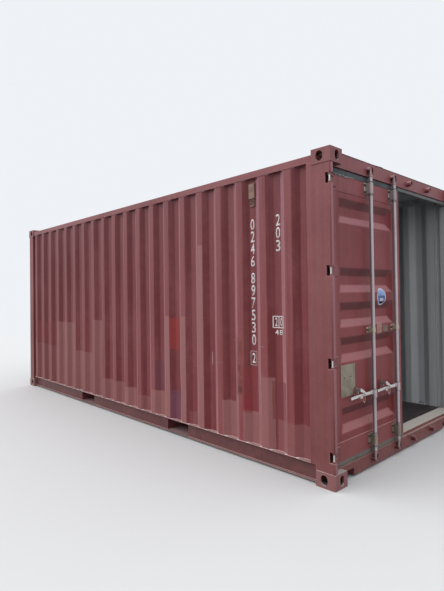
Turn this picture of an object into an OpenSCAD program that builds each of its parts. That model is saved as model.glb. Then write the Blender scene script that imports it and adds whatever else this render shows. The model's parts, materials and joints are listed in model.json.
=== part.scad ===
// Twenty foot dry freight container, its right door swung open.
// The origin is the centre of the base, +X points to the doors and +Z up.
// Most pieces are drawn in corner coordinates: a is the distance inwards from
// the end plane, b the distance inwards from the side plane, z the height.

/* [Container] */
// Length over the corner castings
box_l = 6058; // [5600:1:6500]
// Width over the corner castings
box_w = 2438; // [2300:1:2600]
// Height over the corner castings
box_h = 2591; // [2400:1:2900]
// Height of the floor's upper face
floor_z = 165; // [160:1:180]
// Thickness of the plywood floor
floor_t = 28; // [18:1:32]

/* [Corner castings] */
// Length of a casting
cast_l = 178; // [170:1:190]
// Width of a casting
cast_w = 162; // [155:1:175]
// Height of a casting
cast_h = 118; // [110:1:125]
// Thickness of the plate that holds the long aperture
cast_plate = 28.5; // [20:0.5:32]
// Thickness of the outer walls
cast_wall = 16; // [10:1:20]
// Thickness of the inner walls
cast_back = 12; // [8:1:16]
// Length of the long aperture
aperture_l = 124; // [115:0.5:128]
// Width of the long aperture
aperture_w = 63.5; // [55:0.5:70]
// Distance from the end plane to the aperture's centre
aperture_a = 102.5; // [98:0.5:105]
// Distance from the side plane to the aperture's centre
aperture_b = 89.5; // [85:0.5:94]
// Height of the holes in the end and side walls
wall_hole_h = 79.5; // [70:0.5:84]
// Width of the hole in the end wall
end_hole_w = 51; // [45:0.5:60]
// Width of the hole in the side wall
side_hole_w = 63.5; // [55:0.5:70]

/* [Rails] */
// Height of the bottom side rail's lower face
rail_z = 17; // [12:1:25]
// Height of the bottom side rail
rail_h = 145; // [135:1:150]
// Depth of the bottom side rail's upper flange
rail_d = 48; // [46:1:60]
// Depth of its lower flange
rail_foot = 30; // [20:1:44]
// Thickness of the bottom rails
rail_t = 4.5; // [3:0.5:6]
// Inset of the rails from the side plane
rail_b = 6; // [4:1:8]
// Size of the square top side rail
top_rail = 60; // [50:1:80]
// Wall of the square top side rail
top_rail_t = 3; // [2:0.5:5]
// Drop of the top rail below the top of the castings
top_drop = 35; // [25:1:50]

/* [Corrugated walls] */
// Thickness of the wall panels
wall_t = 2; // [1.5:0.1:4]
// Inset of the side walls' ridges from the side plane
side_b = 8; // [7:1:12]
// Depth of the side walls' corrugation
side_depth = 36; // [25:1:40]
// Pitch of the side walls' ridges
side_pitch = 282; // [250:1:320]
// Distance from the rear plane to the middle of the first ridge
side_first = 425; // [400:1:430]
// Width of a ridge's flat
side_ridge = 74; // [60:1:90]
// Width of a slope
side_slope = 68; // [40:1:72]
// Inset of the front wall's ridges from the front plane
front_a = 12; // [8:1:20]
// Depth of the front wall's corrugation
front_depth = 45; // [30:1:50]
// Pitch of the front wall's ridges
front_pitch = 250; // [220:1:300]
// Width of a front ridge's flat
front_ridge = 110; // [80:1:120]
// Width of a front slope
front_slope = 18; // [10:1:30]
// Pitch of the roof's ridges
roof_pitch = 209; // [180:1:240]
// Width of a roof ridge's flat
roof_ridge = 91; // [70:1:100]
// Width of a roof slope
roof_slope = 13.5; // [8:0.5:20]
// Height of the roof's ridges
roof_depth = 20; // [12:1:26]
// Flat border of the roof beside the rails
roof_edge = 90; // [60:1:140]

/* [Posts] */
// Thickness of the pressed posts
post_t = 6; // [4:1:8]
// Outer radius of the posts' bends
post_r = 12; // [8:1:16]
// Inset of the posts' faces from the outer planes
post_gap = 3; // [2:1:4]
// Length of a rear post along the side
rear_post_l = 229; // [200:1:260]
// Width of a rear post's end flange
rear_flange = 40; // [36:1:42]
// Length of the rear post's inner channel
channel_l = 113; // [100:1:130]
// Start of the inner channel behind the end plane
channel_a = 52; // [50:1:58]
// Distance from the side plane to the door opening
opening_b = 50; // [48:1:52]
// Thickness of the inner channel
channel_t = 10; // [6:1:12]
// Length of a front post along the side
front_post_l = 150; // [130:1:170]
// Width of a front post along the end
front_post_w = 120; // [100:1:150]

/* [Rear frame] */
// Inset of the header's and the sill's faces from the end plane
frame_a = 56; // [54:1:58]
// Inset of the step that the seal lies in
step_a = 84; // [83:1:88]
// Inset of the header's inner face
header_back = 130; // [125:1:150]
// Gap between the header's top and the top of the castings
header_drop = 5; // [3:1:10]
// Height of the header's face
header_face = 121; // [115:1:122]
// Height of the header's step
header_step = 24; // [20:1:28]
// Wall of the header and the sill
frame_t = 5; // [3:0.5:6]
// Height of the sill's outer ledge
sill_ledge = 124; // [122:1:126]
// Height of the sill's step
sill_step = 26; // [24:1:28]
// Inset of the sill's inner face
sill_back = 200; // [180:1:240]
// Length of the clearance recess beside a bottom casting
recess_l = 183; // [150:1:220]
// Depth of the recess
recess_d = 75; // [60:1:90]
// Height of the recess above the sill's lower face
recess_h = 61; // [50:1:70]

/* [Underframe] */
// Height of the cross members
member_h = 122; // [110:1:124]
// Width of the cross members
member_w = 45; // [40:1:60]
// Thickness of the cross members
member_t = 4; // [3:0.5:6]
// Largest spacing of the cross members
member_pitch = 300; // [250:1:400]
// Distance of a fork pocket's centre from the middle
pocket_x = 1025; // [950:1:1100]
// Clear width of a fork pocket
pocket_w = 360; // [300:1:380]
// Thickness of the fork pocket's plates
pocket_t = 4; // [3:1:6]
// Length of the plates that close a pocket's underside at the rails
strap_l = 200; // [100:1:300]

/* [Doors] */
// Angle at which the right door stands open
right_open = 180; // [90:1:200]
// Distance from the side plane to a leaf's hinge edge
leaf_b = 101; // [98:1:106]
// Half the gap between the two leaves
leaf_gap = 6; // [5:0.5:10]
// Inset of a leaf's outer face
leaf_a = 70; // [68:1:72]
// Thickness of a leaf
leaf_t = 50; // [48:1:54]
// Gap between a leaf and the sill's step
leaf_under = 13; // [12:1:16]
// Gap between a leaf and the header
leaf_over = 23; // [22:1:30]
// Width of the frame on the hinge side
stile_hinge = 75; // [60:1:100]
// Width of the frame on the free side
stile_free = 122; // [100:1:140]
// Height of the frame's top rail
rail_top = 134; // [110:1:140]
// Height of the frame's bottom rail
rail_bottom = 146; // [130:1:150]
// Wall of the frame's tubes
leaf_wall = 3; // [2:0.5:5]
// Inset of the door panel behind the frame's face
panel_in = 2; // [1:0.5:4]
// Depth of the panel's pans
pan_depth = 32; // [20:1:34]
// Spacing of the pans
pan_pitch = 278; // [260:1:290]
// Width of a pan's slope
pan_slope = 68; // [40:1:75]
// Width of a pan's flat
pan_flat = 68; // [40:1:80]
// Distance from the top rail to the first pan
pan_first = 46; // [30:1:60]
// Gap between the pans and the frame
pan_side = 20; // [10:1:40]

/* [Door seal] */
// Clearance between the seal and the rear frame
seal_gap = 5; // [5:0.5:6]
// Distance from the leaf's face to the seal lip's outer face
seal_out = 4; // [2:1:6]
// Thickness of the lip
seal_t = 12; // [8:1:14]
// Width of the seal's inner body
seal_w = 14; // [8:1:18]

/* [Hinges] */
// Inset of the hinge pins from both outer planes
pin_in = 20; // [19:0.5:21]
// Radius of a hinge pin
pin_r = 8; // [6:0.5:9]
// Running clearance around pins and bars
run_gap = 0.05; // [0.02:0.01:0.1]
// Height of a hinge notch
notch_h = 82; // [70:1:100]
// Length of a hinge notch along the side
notch_l = 52; // [52:1:58]
// Height of the lowest hinge
hinge_z = 243; // [230:1:270]
// Height of the highest hinge below the top
hinge_drop = 240; // [225:1:260]
// Thickness of the lugs and of the blade
lug_t = 12; // [8:1:16]
// Thickness of the hinge blade
blade_t = 8; // [6:1:8]
// Outer radius of the blade's eyes
eye_r = 13; // [12:0.5:14]
// Reach of the blade over the leaf
blade_reach = 70; // [50:1:74]

/* [Locking bars] */
// Inset of the bars' axes from the end plane
bar_a = 32; // [31:0.5:33]
// Distance from the side plane to the outer bar
bar_outer = 640; // [600:1:680]
// Distance from the side plane to the inner bar
bar_inner = 1055; // [1040:1:1065]
// Radius of a bar
bar_r = 17; // [14:0.5:17]
// Radius of a bar's end
tip_r = 12.5; // [8:0.5:13]
// Radius of the cams
cam_r = 18.5; // [17:0.5:19]
// Height of the lower keepers
keeper_z = 90; // [86:1:90]
// Drop of the upper keepers below the top
keeper_drop = 77; // [70:1:84]
// Outer radius of a keeper
keeper_r = 32; // [30:1:32]
// Wall of a keeper
keeper_t = 6; // [5:1:8]
// Gap between a cam and the cup round it
cam_clear = 2; // [1:0.5:4]
// Thickness of the lip in front of the cam
keeper_lip = 5; // [4:0.5:6]
// Gap between the bar's end and the lip
keeper_clear = 2.5; // [2:0.5:5]
// Width of a cam
cam_w = 18; // [12:1:20]
// Height of a cam's jaw
jaw_h = 12; // [8:1:14]
// Gap between a cam's two jaws
jaw_gap = 14; // [10:1:18]
// Height of the guides at both ends
guide_h = 100; // [80:1:110]
// Height of the middle guide
guide_mid_h = 50; // [40:1:60]
// Height of the middle guide's centre
guide_mid_z = 1162; // [1155:1:1170]
// Width of a guide's foot
guide_w = 96; // [80:1:110]
// Thickness of a guide's plates
guide_t = 5; // [4:0.5:6]

/* [Handles] */
// Height of the handles
handle_z = 645; // [640:1:650]
// Length of a handle from the bar's axis
handle_l = 375; // [340:1:400]
// Height of a handle's section at its eye
handle_h = 26; // [20:1:30]
// Height of the eye
eye_h = 34; // [28:1:40]
// Length of the grip
grip_l = 110; // [80:1:140]
// Thickness of a handle
handle_t = 12; // [8:1:14]
// Inset of the handle's outer face from the end plane
handle_a = 20; // [19:1:21]
// Distance from the bar's axis to the handle's pivot
pivot_b = 50; // [48:1:56]
// Distance from the bar's axis to the retainer
retainer_b = 240; // [220:1:260]
// Angle that a handle lifts out of its retainer
handle_lift = 5; // [3:0.5:6]
// Height of the catch's pivot above the handle
catch_up = 46; // [44:1:52]
// Thickness of the catch
catch_t = 5; // [4:1:6]
// Length of the catch
catch_l = 84; // [70:1:95]
// Radius of the studs that carry handles and catches
stud_r = 7; // [6:0.5:8]
// Width of a retainer's plate
retainer_w = 52; // [40:1:60]
// Thickness of a retainer's plate
retainer_t = 6; // [4:1:8]
// Height of the retainer's lip
lip_h = 9; // [8:1:12]
// Thickness of the web that stiffens the catch's stud
web_t = 8; // [5:1:10]
// Clearance between the web and what moves beside it
web_gap = 5; // [5:0.5:8]
// Height of the hub's clamp
hub_h = 72; // [60:1:80]
// Thickness of the hub's clamp round the bar
hub_t = 6; // [4:1:7]
// Thickness of the hub's ear
hub_ear = 10; // [8:1:12]
// Height of the collars on a bar
collar_h = 8; // [4:1:10]
// Width that a collar stands out round a bar
collar_out = 4; // [2:0.5:6]
// Gap between a collar and a guide
collar_gap = 1.5; // [1:0.5:4]

/* [Fittings] */
// Height of a ventilator's cover
vent_h = 137; // [110:1:170]
// Width of a ventilator
vent_w = 66; // [50:1:70]
// Depth of a ventilator
vent_d = 20; // [15:1:30]
// Height of the louvred foot under the cover
vent_foot = 68; // [40:1:80]
// Radius of the rod of a lashing ring
ring_rod = 5; // [4:0.5:7]
// Width of a lashing ring
ring_w = 70; // [50:1:90]
// Distance from the end planes to the first and last rings
ring_first = 410; // [300:1:600]

/* [Hidden] */
$fn = 48;

// Colours
PAINT = [0.48, 0.31, 0.31];
GALVANISED = [0.62, 0.62, 0.6];
RUBBER = [0.22, 0.24, 0.26];
TIMBER = [0.3, 0.22, 0.18];
INSIDE = [0.5, 0.51, 0.52];

// Cutting allowance
e = 1;

half_l = box_l / 2;
half_w = box_w / 2;

// Heights
rail_top_z = rail_z + rail_h;
floor_under = floor_z - floor_t;
top_rail_z1 = box_h - top_drop;
top_rail_z0 = top_rail_z1 - top_rail;
header_z1 = box_h - header_drop;
header_z0 = header_z1 - header_face;
header_low = header_z0 - header_step;
sill_high = sill_ledge + sill_step;
leaf_z0 = sill_high + leaf_under;
leaf_z1 = header_low - leaf_over;
hinge_top = box_h - hinge_drop;
keeper_top_z = box_h - keeper_drop;

// Places across the width, from the side plane
rail_web_b = rail_b + rail_d;
leaf_end = half_w - leaf_gap;
seal_lip_b = opening_b + seal_gap;
bar_places = [bar_outer, bar_inner];
panel_a = leaf_a + panel_in;

// Repeats
function spread(n, from, to) = [for (i = [0 : n - 1]) from + (to - from) * i / (n - 1)];
function fits(span, pitch) = floor(span / pitch);

module both_sides() { children(); mirror([0, 1, 0]) children(); }
module both_ends() { children(); mirror([1, 0, 0]) children(); }

// Corner coordinates at the left rear and left front corners
module rear_left() { translate([half_l, -half_w, 0]) mirror([1, 0, 0]) children(); }
module front_left() { translate([-half_l, -half_w, 0]) children(); }

// The two doors: the left one is shut, the right one turned about its pins
module left_door() { rear_left() children(); }
module right_door() {
  translate([half_l - pin_in, half_w - pin_in, 0])
    rotate([0, 0, right_open])
      translate([pin_in - half_l, pin_in - half_w, 0])
        mirror([0, 1, 0]) rear_left() children();
}

// A box between two corners
module block(from, to) { translate(from) cube(to - from); }

// A profile drawn in a and z, carried from one b to another
module along_b(b0, b1) {
  translate([0, b1, 0]) rotate([90, 0, 0]) linear_extrude(b1 - b0) children();
}

// A slot with round ends, centred on the origin, its length along x
module slot_2d(length, width) {
  square([length - width, width], center = true);
  for (s = [-1, 1]) translate([s * (length - width) / 2, 0]) circle(d = width);
}

// Corner casting, in corner coordinates, its long aperture below
module corner_casting() {
  difference() {
    cube([cast_l, cast_w, cast_h]);
    translate([cast_wall, cast_wall, cast_plate])
      cube([cast_l - cast_wall - cast_back, cast_w - cast_wall - cast_back,
            cast_h - cast_plate - cast_back]);
    translate([aperture_a, aperture_b, -e])
      linear_extrude(cast_plate + 2 * e) slot_2d(aperture_l, aperture_w);
    translate([-e, aperture_b, cast_h / 2]) rotate([90, 0, 90])
      linear_extrude(cast_wall + 2 * e) rotate(90) slot_2d(wall_hole_h, end_hole_w);
    translate([aperture_a, cast_wall + e, cast_h / 2]) rotate([90, 0, 0])
      linear_extrude(cast_wall + 2 * e) rotate(90) slot_2d(wall_hole_h, side_hole_w);
  }
}
module bottom_corner_castings() {
  color(PAINT) both_sides() both_ends() rear_left() corner_casting();
}
module top_corner_castings() {
  color(PAINT) translate([0, 0, box_h]) mirror([0, 0, 1])
    both_sides() both_ends() rear_left() corner_casting();
}

// The space that the eight castings fill
module casting_space() {
  both_sides() both_ends() rear_left() for (z = [0, box_h - cast_h])
    translate([-e, -e, z]) cube([cast_l + e, cast_w + e, cast_h]);
}

// Bottom side rail: a channel that opens outwards, cut for the fork pockets
module rail_section() {
  web = rail_web_b - rail_t;
  translate([web, rail_z]) square([rail_t, rail_h]);
  translate([rail_b, rail_top_z - rail_t]) square([rail_d, rail_t]);
  translate([rail_web_b - rail_foot, rail_z]) square([rail_foot, rail_t]);
}
module bottom_side_rail() {
  difference() {
    translate([-half_l + cast_l, -half_w, 0]) rotate([90, 0, 90])
      linear_extrude(box_l - 2 * cast_l) rail_section();
    for (s = [-1, 1])
      translate([s * pocket_x - pocket_w / 2, -half_w, rail_z + rail_t])
        cube([pocket_w, rail_web_b + e, floor_under - pocket_t - rail_z - rail_t]);
  }
}
module bottom_side_rail_left() { color(PAINT) bottom_side_rail(); }
module bottom_side_rail_right() { color(PAINT) mirror([0, 1, 0]) bottom_side_rail(); }

// Square tube between two x values
module square_tube(x0, x1, b, z, size, wall) {
  difference() {
    translate([x0, b, z]) cube([x1 - x0, size, size]);
    translate([x0 - e, b + wall, z + wall])
      cube([x1 - x0 + 2 * e, size - 2 * wall, size - 2 * wall]);
  }
}
module top_side_rail() {
  square_tube(-half_l + cast_l, half_l - cast_l, side_b - half_w, top_rail_z0,
              top_rail, top_rail_t);
}
module top_side_rail_left() { color(PAINT) top_side_rail(); }
module top_side_rail_right() { color(PAINT) mirror([0, 1, 0]) top_side_rail(); }

// Corrugated sheet in plan: ridges at out, valleys at out + depth, both along
// u from u0 to u1, as one strip of even thickness
function ridge_points(centres, ridge, slope, out, depth) = [
  for (c = centres, p = [
    [c - ridge / 2 - slope, out + depth], [c - ridge / 2, out],
    [c + ridge / 2, out], [c + ridge / 2 + slope, out + depth]
  ]) p
];
module corrugated(u0, u1, centres, ridge, slope, out, depth, sheet) {
  line = concat([[u0, out + depth]], ridge_points(centres, ridge, slope, out, depth),
                [[u1, out + depth]]);
  back = [for (i = [len(line) - 1 : -1 : 0]) line[i] + [0, sheet]];
  polygon(concat(line, back));
}
// Centres of the ridges that fit in a span, the first a margin from its start
function ridge_centres(u0, u1, pitch, ridge, slope) =
  let (n = fits(u1 - u0 - ridge - 2 * slope, pitch),
       first = (u0 + u1 - n * pitch) / 2)
  [for (i = [0 : n]) first + i * pitch];

side_u0 = -half_l + front_post_l;
side_u1 = half_l - rear_post_l;
side_x1 = half_l - side_first;
side_n = fits(side_x1 - side_ridge / 2 - side_slope - side_u0, side_pitch);
side_ridges = [for (i = [side_n : -1 : 0]) side_x1 - i * side_pitch];
module side_wall() {
  difference() {
    translate([0, -half_w, rail_top_z])
      linear_extrude(top_rail_z0 - rail_top_z)
        corrugated(side_u0, side_u1, side_ridges, side_ridge, side_slope,
                   side_b, side_depth, wall_t);
    casting_space();
  }
}
module side_wall_left() { color(PAINT) side_wall(); }
module side_wall_right() { color(PAINT) mirror([0, 1, 0]) side_wall(); }

front_u = half_w - front_post_w;
front_ridges = ridge_centres(-front_u, front_u, front_pitch, front_ridge, front_slope);
module front_wall() {
  color(PAINT) difference() {
    translate([-half_l, 0, rail_top_z]) mirror([1, -1, 0])
      linear_extrude(top_rail_z0 - rail_top_z)
        corrugated(-front_u, front_u, front_ridges, front_ridge, front_slope,
                   front_a, front_depth, wall_t);
    casting_space();
  }
}

// Roof: flat borders on the rails, and ridges across with closed ends
roof_x0 = -half_l + front_a;
roof_x1 = half_l - header_back;
roof_ridges = ridge_centres(roof_x0 + roof_edge, roof_x1, roof_pitch, roof_ridge, roof_slope);
roof_half = half_w - side_b - top_rail / 2;
module roof_panel() {
  inner = roof_half - roof_edge;
  color(PAINT) difference() {
    translate([0, 0, top_rail_z1]) {
      translate([0, inner, 0]) rotate([90, 0, 0]) linear_extrude(2 * inner)
        mirror([0, 1]) corrugated(roof_x0, roof_x1, roof_ridges, roof_ridge, roof_slope,
                                  -roof_depth - wall_t, roof_depth, wall_t);
      both_sides() {
        translate([roof_x0, inner, 0]) cube([roof_x1 - roof_x0, roof_edge, wall_t]);
        translate([0, inner + wall_t, 0]) rotate([90, 0, 0]) linear_extrude(wall_t)
          for (c = roof_ridges) roof_ridge_2d(c);
      }
    }
    casting_space();
  }
}
module roof_ridge_2d(c) {
  top = roof_depth + wall_t;
  polygon([[c - roof_ridge / 2 - roof_slope, 0], [c - roof_ridge / 2, top],
           [c + roof_ridge / 2, top], [c + roof_ridge / 2 + roof_slope, 0]]);
}

// The bend at a post's outer corner and the two legs that run from it
module post_legs_2d(length, width) {
  start = post_gap + post_r;
  translate([start, start]) difference() {
    intersection() {
      circle(r = post_r);
      translate([-post_r, -post_r]) square(post_r);
    }
    circle(r = post_r - post_t);
  }
  translate([start, post_gap]) square([length - start, post_t]);
  translate([post_gap, start]) square([post_t, width - start]);
}
// Front posts: one pressing round the corner, with returns to both walls
module front_post_2d() {
  valley = side_b + side_depth + wall_t;
  post_legs_2d(front_post_l, front_post_w);
  translate([front_post_l - post_t, post_gap]) square([post_t, valley - post_gap]);
  translate([post_gap, front_post_w - post_t])
    square([front_a + front_depth + wall_t - post_gap, post_t]);
}
module front_corner_posts() {
  valley = side_b + side_depth + wall_t;
  front_valley = front_a + front_depth + wall_t;
  color(PAINT) both_sides() front_left() {
    translate([0, 0, cast_h]) linear_extrude(box_h - 2 * cast_h) front_post_2d();
    block([front_post_l - e, valley - post_t, cast_h], [cast_l, valley, rail_top_z]);
    block([front_valley - post_t, front_post_w - e, cast_h], [front_valley, cast_w, rail_top_z]);
  }
}

// Rear posts: the outer pressing, notched for the hinges
module rear_post_2d() {
  valley = side_b + side_depth + wall_t;
  post_legs_2d(rear_post_l, rear_flange);
  translate([rear_post_l - post_t, post_gap]) square([post_t, valley - post_gap]);
}
hinge_heights = spread(4, hinge_z, hinge_top);
module rear_corner_posts() {
  color(PAINT) both_sides() rear_left() difference() {
    translate([0, 0, cast_h]) linear_extrude(top_rail_z0 - cast_h) rear_post_2d();
    for (z = hinge_heights)
      translate([0, 0, z - notch_h / 2]) cube([notch_l, rear_flange + e, notch_h]);
    block([cast_l, 0, 0], [rear_post_l + e, rear_flange + notch_l, rail_top_z]);
    block([0, 0, box_h - cast_h], [cast_l, rear_flange + notch_l, box_h]);
  }
}
// The channel that closes the post and lines the door opening
module rear_post_channels() {
  depth = opening_b - post_gap - post_t;
  color(PAINT) both_sides() rear_left()
    translate([channel_a, post_gap + post_t, cast_h]) difference() {
      cube([channel_l, depth, box_h - 2 * cast_h]);
      translate([channel_t, -e, -e])
        cube([channel_l - 2 * channel_t, depth - channel_t + e, box_h]);
    }
}

module front_top_rail() {
  color(PAINT) front_left() difference() {
    block([front_a, cast_w, top_rail_z0], [front_a + top_rail, box_w - cast_w, top_rail_z1]);
    block([front_a + top_rail_t, cast_w - e, top_rail_z0 + top_rail_t],
          [front_a + top_rail - top_rail_t, box_w - cast_w + e, top_rail_z1 - top_rail_t]);
  }
}
module front_bottom_rail() {
  a1 = front_a + rail_d;
  color(PAINT) front_left() difference() {
    block([front_a, cast_w, rail_z], [a1, box_w - cast_w, rail_top_z]);
    block([front_a + rail_t, cast_w - e, rail_z + rail_t],
          [a1 + e, box_w - cast_w + e, rail_top_z - rail_t]);
  }
}

// Header and sill, as sections in a and z
module header_2d(t) {
  polygon([[frame_a + t, header_z0 + t], [frame_a + t, header_z1 - t],
           [header_back - t, header_z1 - t], [header_back - t, header_low + t],
           [step_a + t, header_low + t], [step_a + t, header_z0 + t]]);
}
module door_header() {
  color(PAINT) rear_left() difference() {
    union() {
      along_b(cast_w, box_w - cast_w) header_2d(0);
      intersection() {
        along_b(opening_b, box_w - opening_b) header_2d(0);
        block([0, 0, 0], [header_back, box_w, box_h - cast_h]);
      }
    }
    along_b(cast_w + frame_t, box_w - cast_w - frame_t) header_2d(frame_t);
  }
}
module sill_2d(t) {
  polygon([[frame_a + t, rail_z + t], [frame_a + t, sill_ledge - t],
           [step_a + t, sill_ledge - t], [step_a + t, sill_high - t],
           [sill_back - t, floor_z - t], [sill_back - t, rail_z + t]]);
}
module recess_block(grow) {
  for (b = [cast_w, box_w - cast_w - recess_l])
    block([0, b - grow, 0], [frame_a + recess_d + grow, b + recess_l + grow,
                             rail_z + recess_h + grow]);
}
module door_sill() {
  color(PAINT) rear_left() difference() {
    union() {
      difference() {
        union() {
          along_b(cast_w, box_w - cast_w) sill_2d(0);
          intersection() {
            along_b(opening_b, box_w - opening_b) sill_2d(0);
            block([0, 0, cast_h], [sill_back, box_w, box_h]);
          }
        }
        along_b(cast_w + frame_t, box_w - cast_w - frame_t) sill_2d(frame_t);
      }
      intersection() {
        along_b(cast_w, box_w - cast_w) sill_2d(0);
        recess_block(frame_t);
      }
    }
    translate([0, 0, -e]) recess_block(0);
    for (b = [0, box_w - rail_web_b])
      block([cast_l, b, 0], [sill_back + e, b + rail_web_b, rail_top_z]);
  }
}

// Underframe: channels across, left out where the fork pockets pass
module cross_member() {
  difference() {
    translate([-member_w / 2, rail_web_b - half_w, 0])
      cube([member_w, box_w - 2 * rail_web_b, member_h]);
    translate([member_t - member_w / 2, -half_w, member_t])
      cube([member_w, box_w, member_h - 2 * member_t]);
  }
}
pocket_side = pocket_w / 2 + pocket_t;
inner_run = pocket_x - pocket_side;
outer_x0 = pocket_x + pocket_side;
outer_x1 = half_l - sill_back;
inner_n = 2 * ceil(inner_run / member_pitch) - 1;
outer_n = ceil((outer_x1 - outer_x0) / member_pitch) - 1;
function between(n, from, to) = [for (i = [1 : n]) from + (to - from) * i / (n + 1)];
module floor_cross_members() {
  color(PAINT) translate([0, 0, floor_under - member_h]) {
    for (x = between(inner_n, -inner_run, inner_run)) translate([x, 0, 0]) cross_member();
    both_ends() for (x = between(outer_n, outer_x0, outer_x1))
      translate([x, 0, 0]) cross_member();
  }
}
// Fork pockets: an open trough upside down, with straps under both ends
module fork_pockets() {
  span = half_w - rail_web_b;
  color(PAINT) both_ends() translate([pocket_x, 0, 0]) {
    difference() {
      block([-pocket_side, -span, floor_under - member_h], [pocket_side, span, floor_under]);
      block([-pocket_w / 2, -half_w, 0], [pocket_w / 2, half_w, floor_under - pocket_t]);
    }
    both_sides() block([-pocket_w / 2, span - strap_l, floor_under - member_h],
                       [pocket_w / 2, span, rail_z + rail_t]);
  }
}
module plywood_floor() {
  color(TIMBER) block([-half_l + front_a + rail_d, rail_web_b - half_w, floor_under],
                      [half_l - sill_back, half_w - rail_web_b, floor_z]);
}

// Ventilators in a valley of each side wall, below the top rail: a hood that
// is open below, and a foot with slots between its louvres
vent_x = side_ridges[len(side_ridges) - 2] - side_pitch / 2;
vent_t = 3;
module vent_hood() {
  difference() {
    translate([-vent_w / 2, 0, 0]) rotate([90, 0, 90]) linear_extrude(vent_w)
      polygon([[0, 0], [vent_d, 0], [vent_d, vent_h - vent_d / 2], [vent_d / 2, vent_h],
               [0, vent_h]]);
    translate([vent_t - vent_w / 2, -e, -e])
      cube([vent_w - 2 * vent_t, vent_d - vent_t + e, vent_h - vent_d / 2]);
  }
}
module vent_base() {
  louvre = 12;
  w = vent_w - 4 * vent_t;
  difference() {
    translate([-w / 2, 0, -vent_foot]) cube([w, vent_d / 2, vent_foot - vent_t]);
    for (i = [1 : fits(vent_foot - louvre, louvre)])
      translate([vent_t - w / 2, vent_t, -i * louvre - vent_t])
        cube([w - 2 * vent_t, vent_d, louvre / 2]);
  }
}
module side_wall_vents() {
  z1 = top_rail_z0 - 38;
  color(GALVANISED) both_sides()
    translate([vent_x, side_b + side_depth - half_w, z1 - vent_h]) mirror([0, 1, 0]) {
      vent_hood();
      vent_base();
    }
}

// Lashing rings along the floor's edges and under the top rails
ring_places = spread(6, ring_first - half_l, half_l - ring_first);
module lashing_ring() {
  rotate_extrude(angle = 180) translate([ring_w / 2 - ring_rod, 0]) circle(r = ring_rod);
}
module lashing_rings() {
  low_b = rail_web_b - half_w;
  high_b = side_b + top_rail - half_w;
  color(GALVANISED) both_sides() for (x = ring_places) {
    translate([x, high_b, top_rail_z0 + top_rail / 2]) lashing_ring();
    translate([x, low_b + ring_rod, floor_z]) rotate([90, 0, 0]) lashing_ring();
  }
}

// Keepers: round cups on the header and the sill with a lip that holds the cam,
// open towards the bar and on the side from which the cam turns in
keeper_a = bar_a - cam_w / 2 - keeper_lip - 6;
module keeper_disc(r, a0, a1) {
  translate([a0, 0, 0]) rotate([0, 90, 0]) cylinder(r = r, h = a1 - a0);
}
module keeper() {
  difference() {
    keeper_disc(keeper_r, keeper_a, frame_a);
    keeper_disc(keeper_r - keeper_t, keeper_a + keeper_lip, frame_a + e);
    block([0, -keeper_r - e, -keeper_r - e], [frame_a + e, keeper_r * 0.62, 0]);
    block([0, -keeper_r - e, -keeper_r - e],
          [keeper_a + keeper_lip, tip_r + keeper_clear, keeper_r + e]);
  }
}
module header_cam_keepers() {
  color(PAINT) both_sides() rear_left()
    for (b = bar_places) translate([0, b, keeper_top_z]) keeper();
}
module sill_cam_keepers() {
  color(PAINT) both_sides() rear_left()
    for (b = bar_places) translate([0, b, keeper_z]) mirror([0, 0, 1]) keeper();
}

// Hinges: lugs inside the post carry a pin, on which the blade turns
module hinge_lugs() {
  low = post_gap + post_t;
  bend = post_gap + post_r;
  color(PAINT) both_sides() rear_left() for (z = hinge_heights, s = [-1, 1])
    translate([0, 0, z + s * (notch_h + lug_t) / 2 - lug_t / 2]) difference() {
      linear_extrude(lug_t)
        polygon([[low, bend], [bend, low], [channel_a, low], [channel_a, rear_flange],
                 [low, rear_flange]]);
      translate([pin_in, pin_in, -e]) cylinder(r = pin_r + run_gap, h = lug_t + 2 * e);
    }
}
module hinge_pins() {
  color(GALVANISED) both_sides() rear_left() for (z = hinge_heights)
    translate([pin_in, pin_in, z - notch_h / 2 - lug_t]) {
      cylinder(r = pin_r, h = notch_h + 2 * lug_t);
      translate([0, 0, notch_h + 2 * lug_t]) cylinder(r = pin_r + 2, h = 3);
    }
}
module hinge_blade() {
  h = notch_h - 4;
  p1 = [leaf_a - blade_t / 2, leaf_b];
  d = (p1 - [pin_in, pin_in]) / norm(p1 - [pin_in, pin_in]);
  n = [d[1], -d[0]];
  start = [pin_in, pin_in] + d * (pin_r + 3);
  rib = [pin_in, pin_in] + d * 45 - n * blade_t / 2;
  difference() {
    union() {
      translate([0, 0, -h / 2]) linear_extrude(h) {
        polygon([start + n * blade_t / 2, p1 + n * blade_t / 2,
                 p1 - n * blade_t / 2, start - n * blade_t / 2]);
        translate([leaf_a - blade_t, leaf_b - 4]) square([blade_t, blade_reach]);
      }
      for (s = [-1, 1]) {
        translate([pin_in, pin_in, s * (h - 14) / 2]) cylinder(r = eye_r, h = 14, center = true);
        translate([0, 0, s * (h - blade_t) / 2 - blade_t / 2]) linear_extrude(blade_t)
          polygon([rib, [leaf_a - blade_t / 2, leaf_b - 2],
                   [leaf_a - blade_t / 2, leaf_b + blade_reach - 16]]);
      }
    }
    translate([pin_in, pin_in, -h]) cylinder(r = pin_r + run_gap, h = 2 * h);
  }
}
module door_hinge_blades() { for (z = hinge_heights) translate([0, 0, z]) hinge_blade(); }

// Door leaf: a frame of tubes, seen as a ring with a hollow inside
module leaf_ring(t) {
  difference() {
    block([leaf_a + t, leaf_b + t, leaf_z0 + t],
          [leaf_a + leaf_t - t, leaf_end - t, leaf_z1 - t]);
    block([leaf_a - e, leaf_b + stile_hinge - t, leaf_z0 + rail_bottom - t],
          [leaf_a + leaf_t + e, leaf_end - stile_free + t, leaf_z1 - rail_top + t]);
  }
}
module door_frame() { difference() { leaf_ring(0); leaf_ring(leaf_wall); } }

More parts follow.
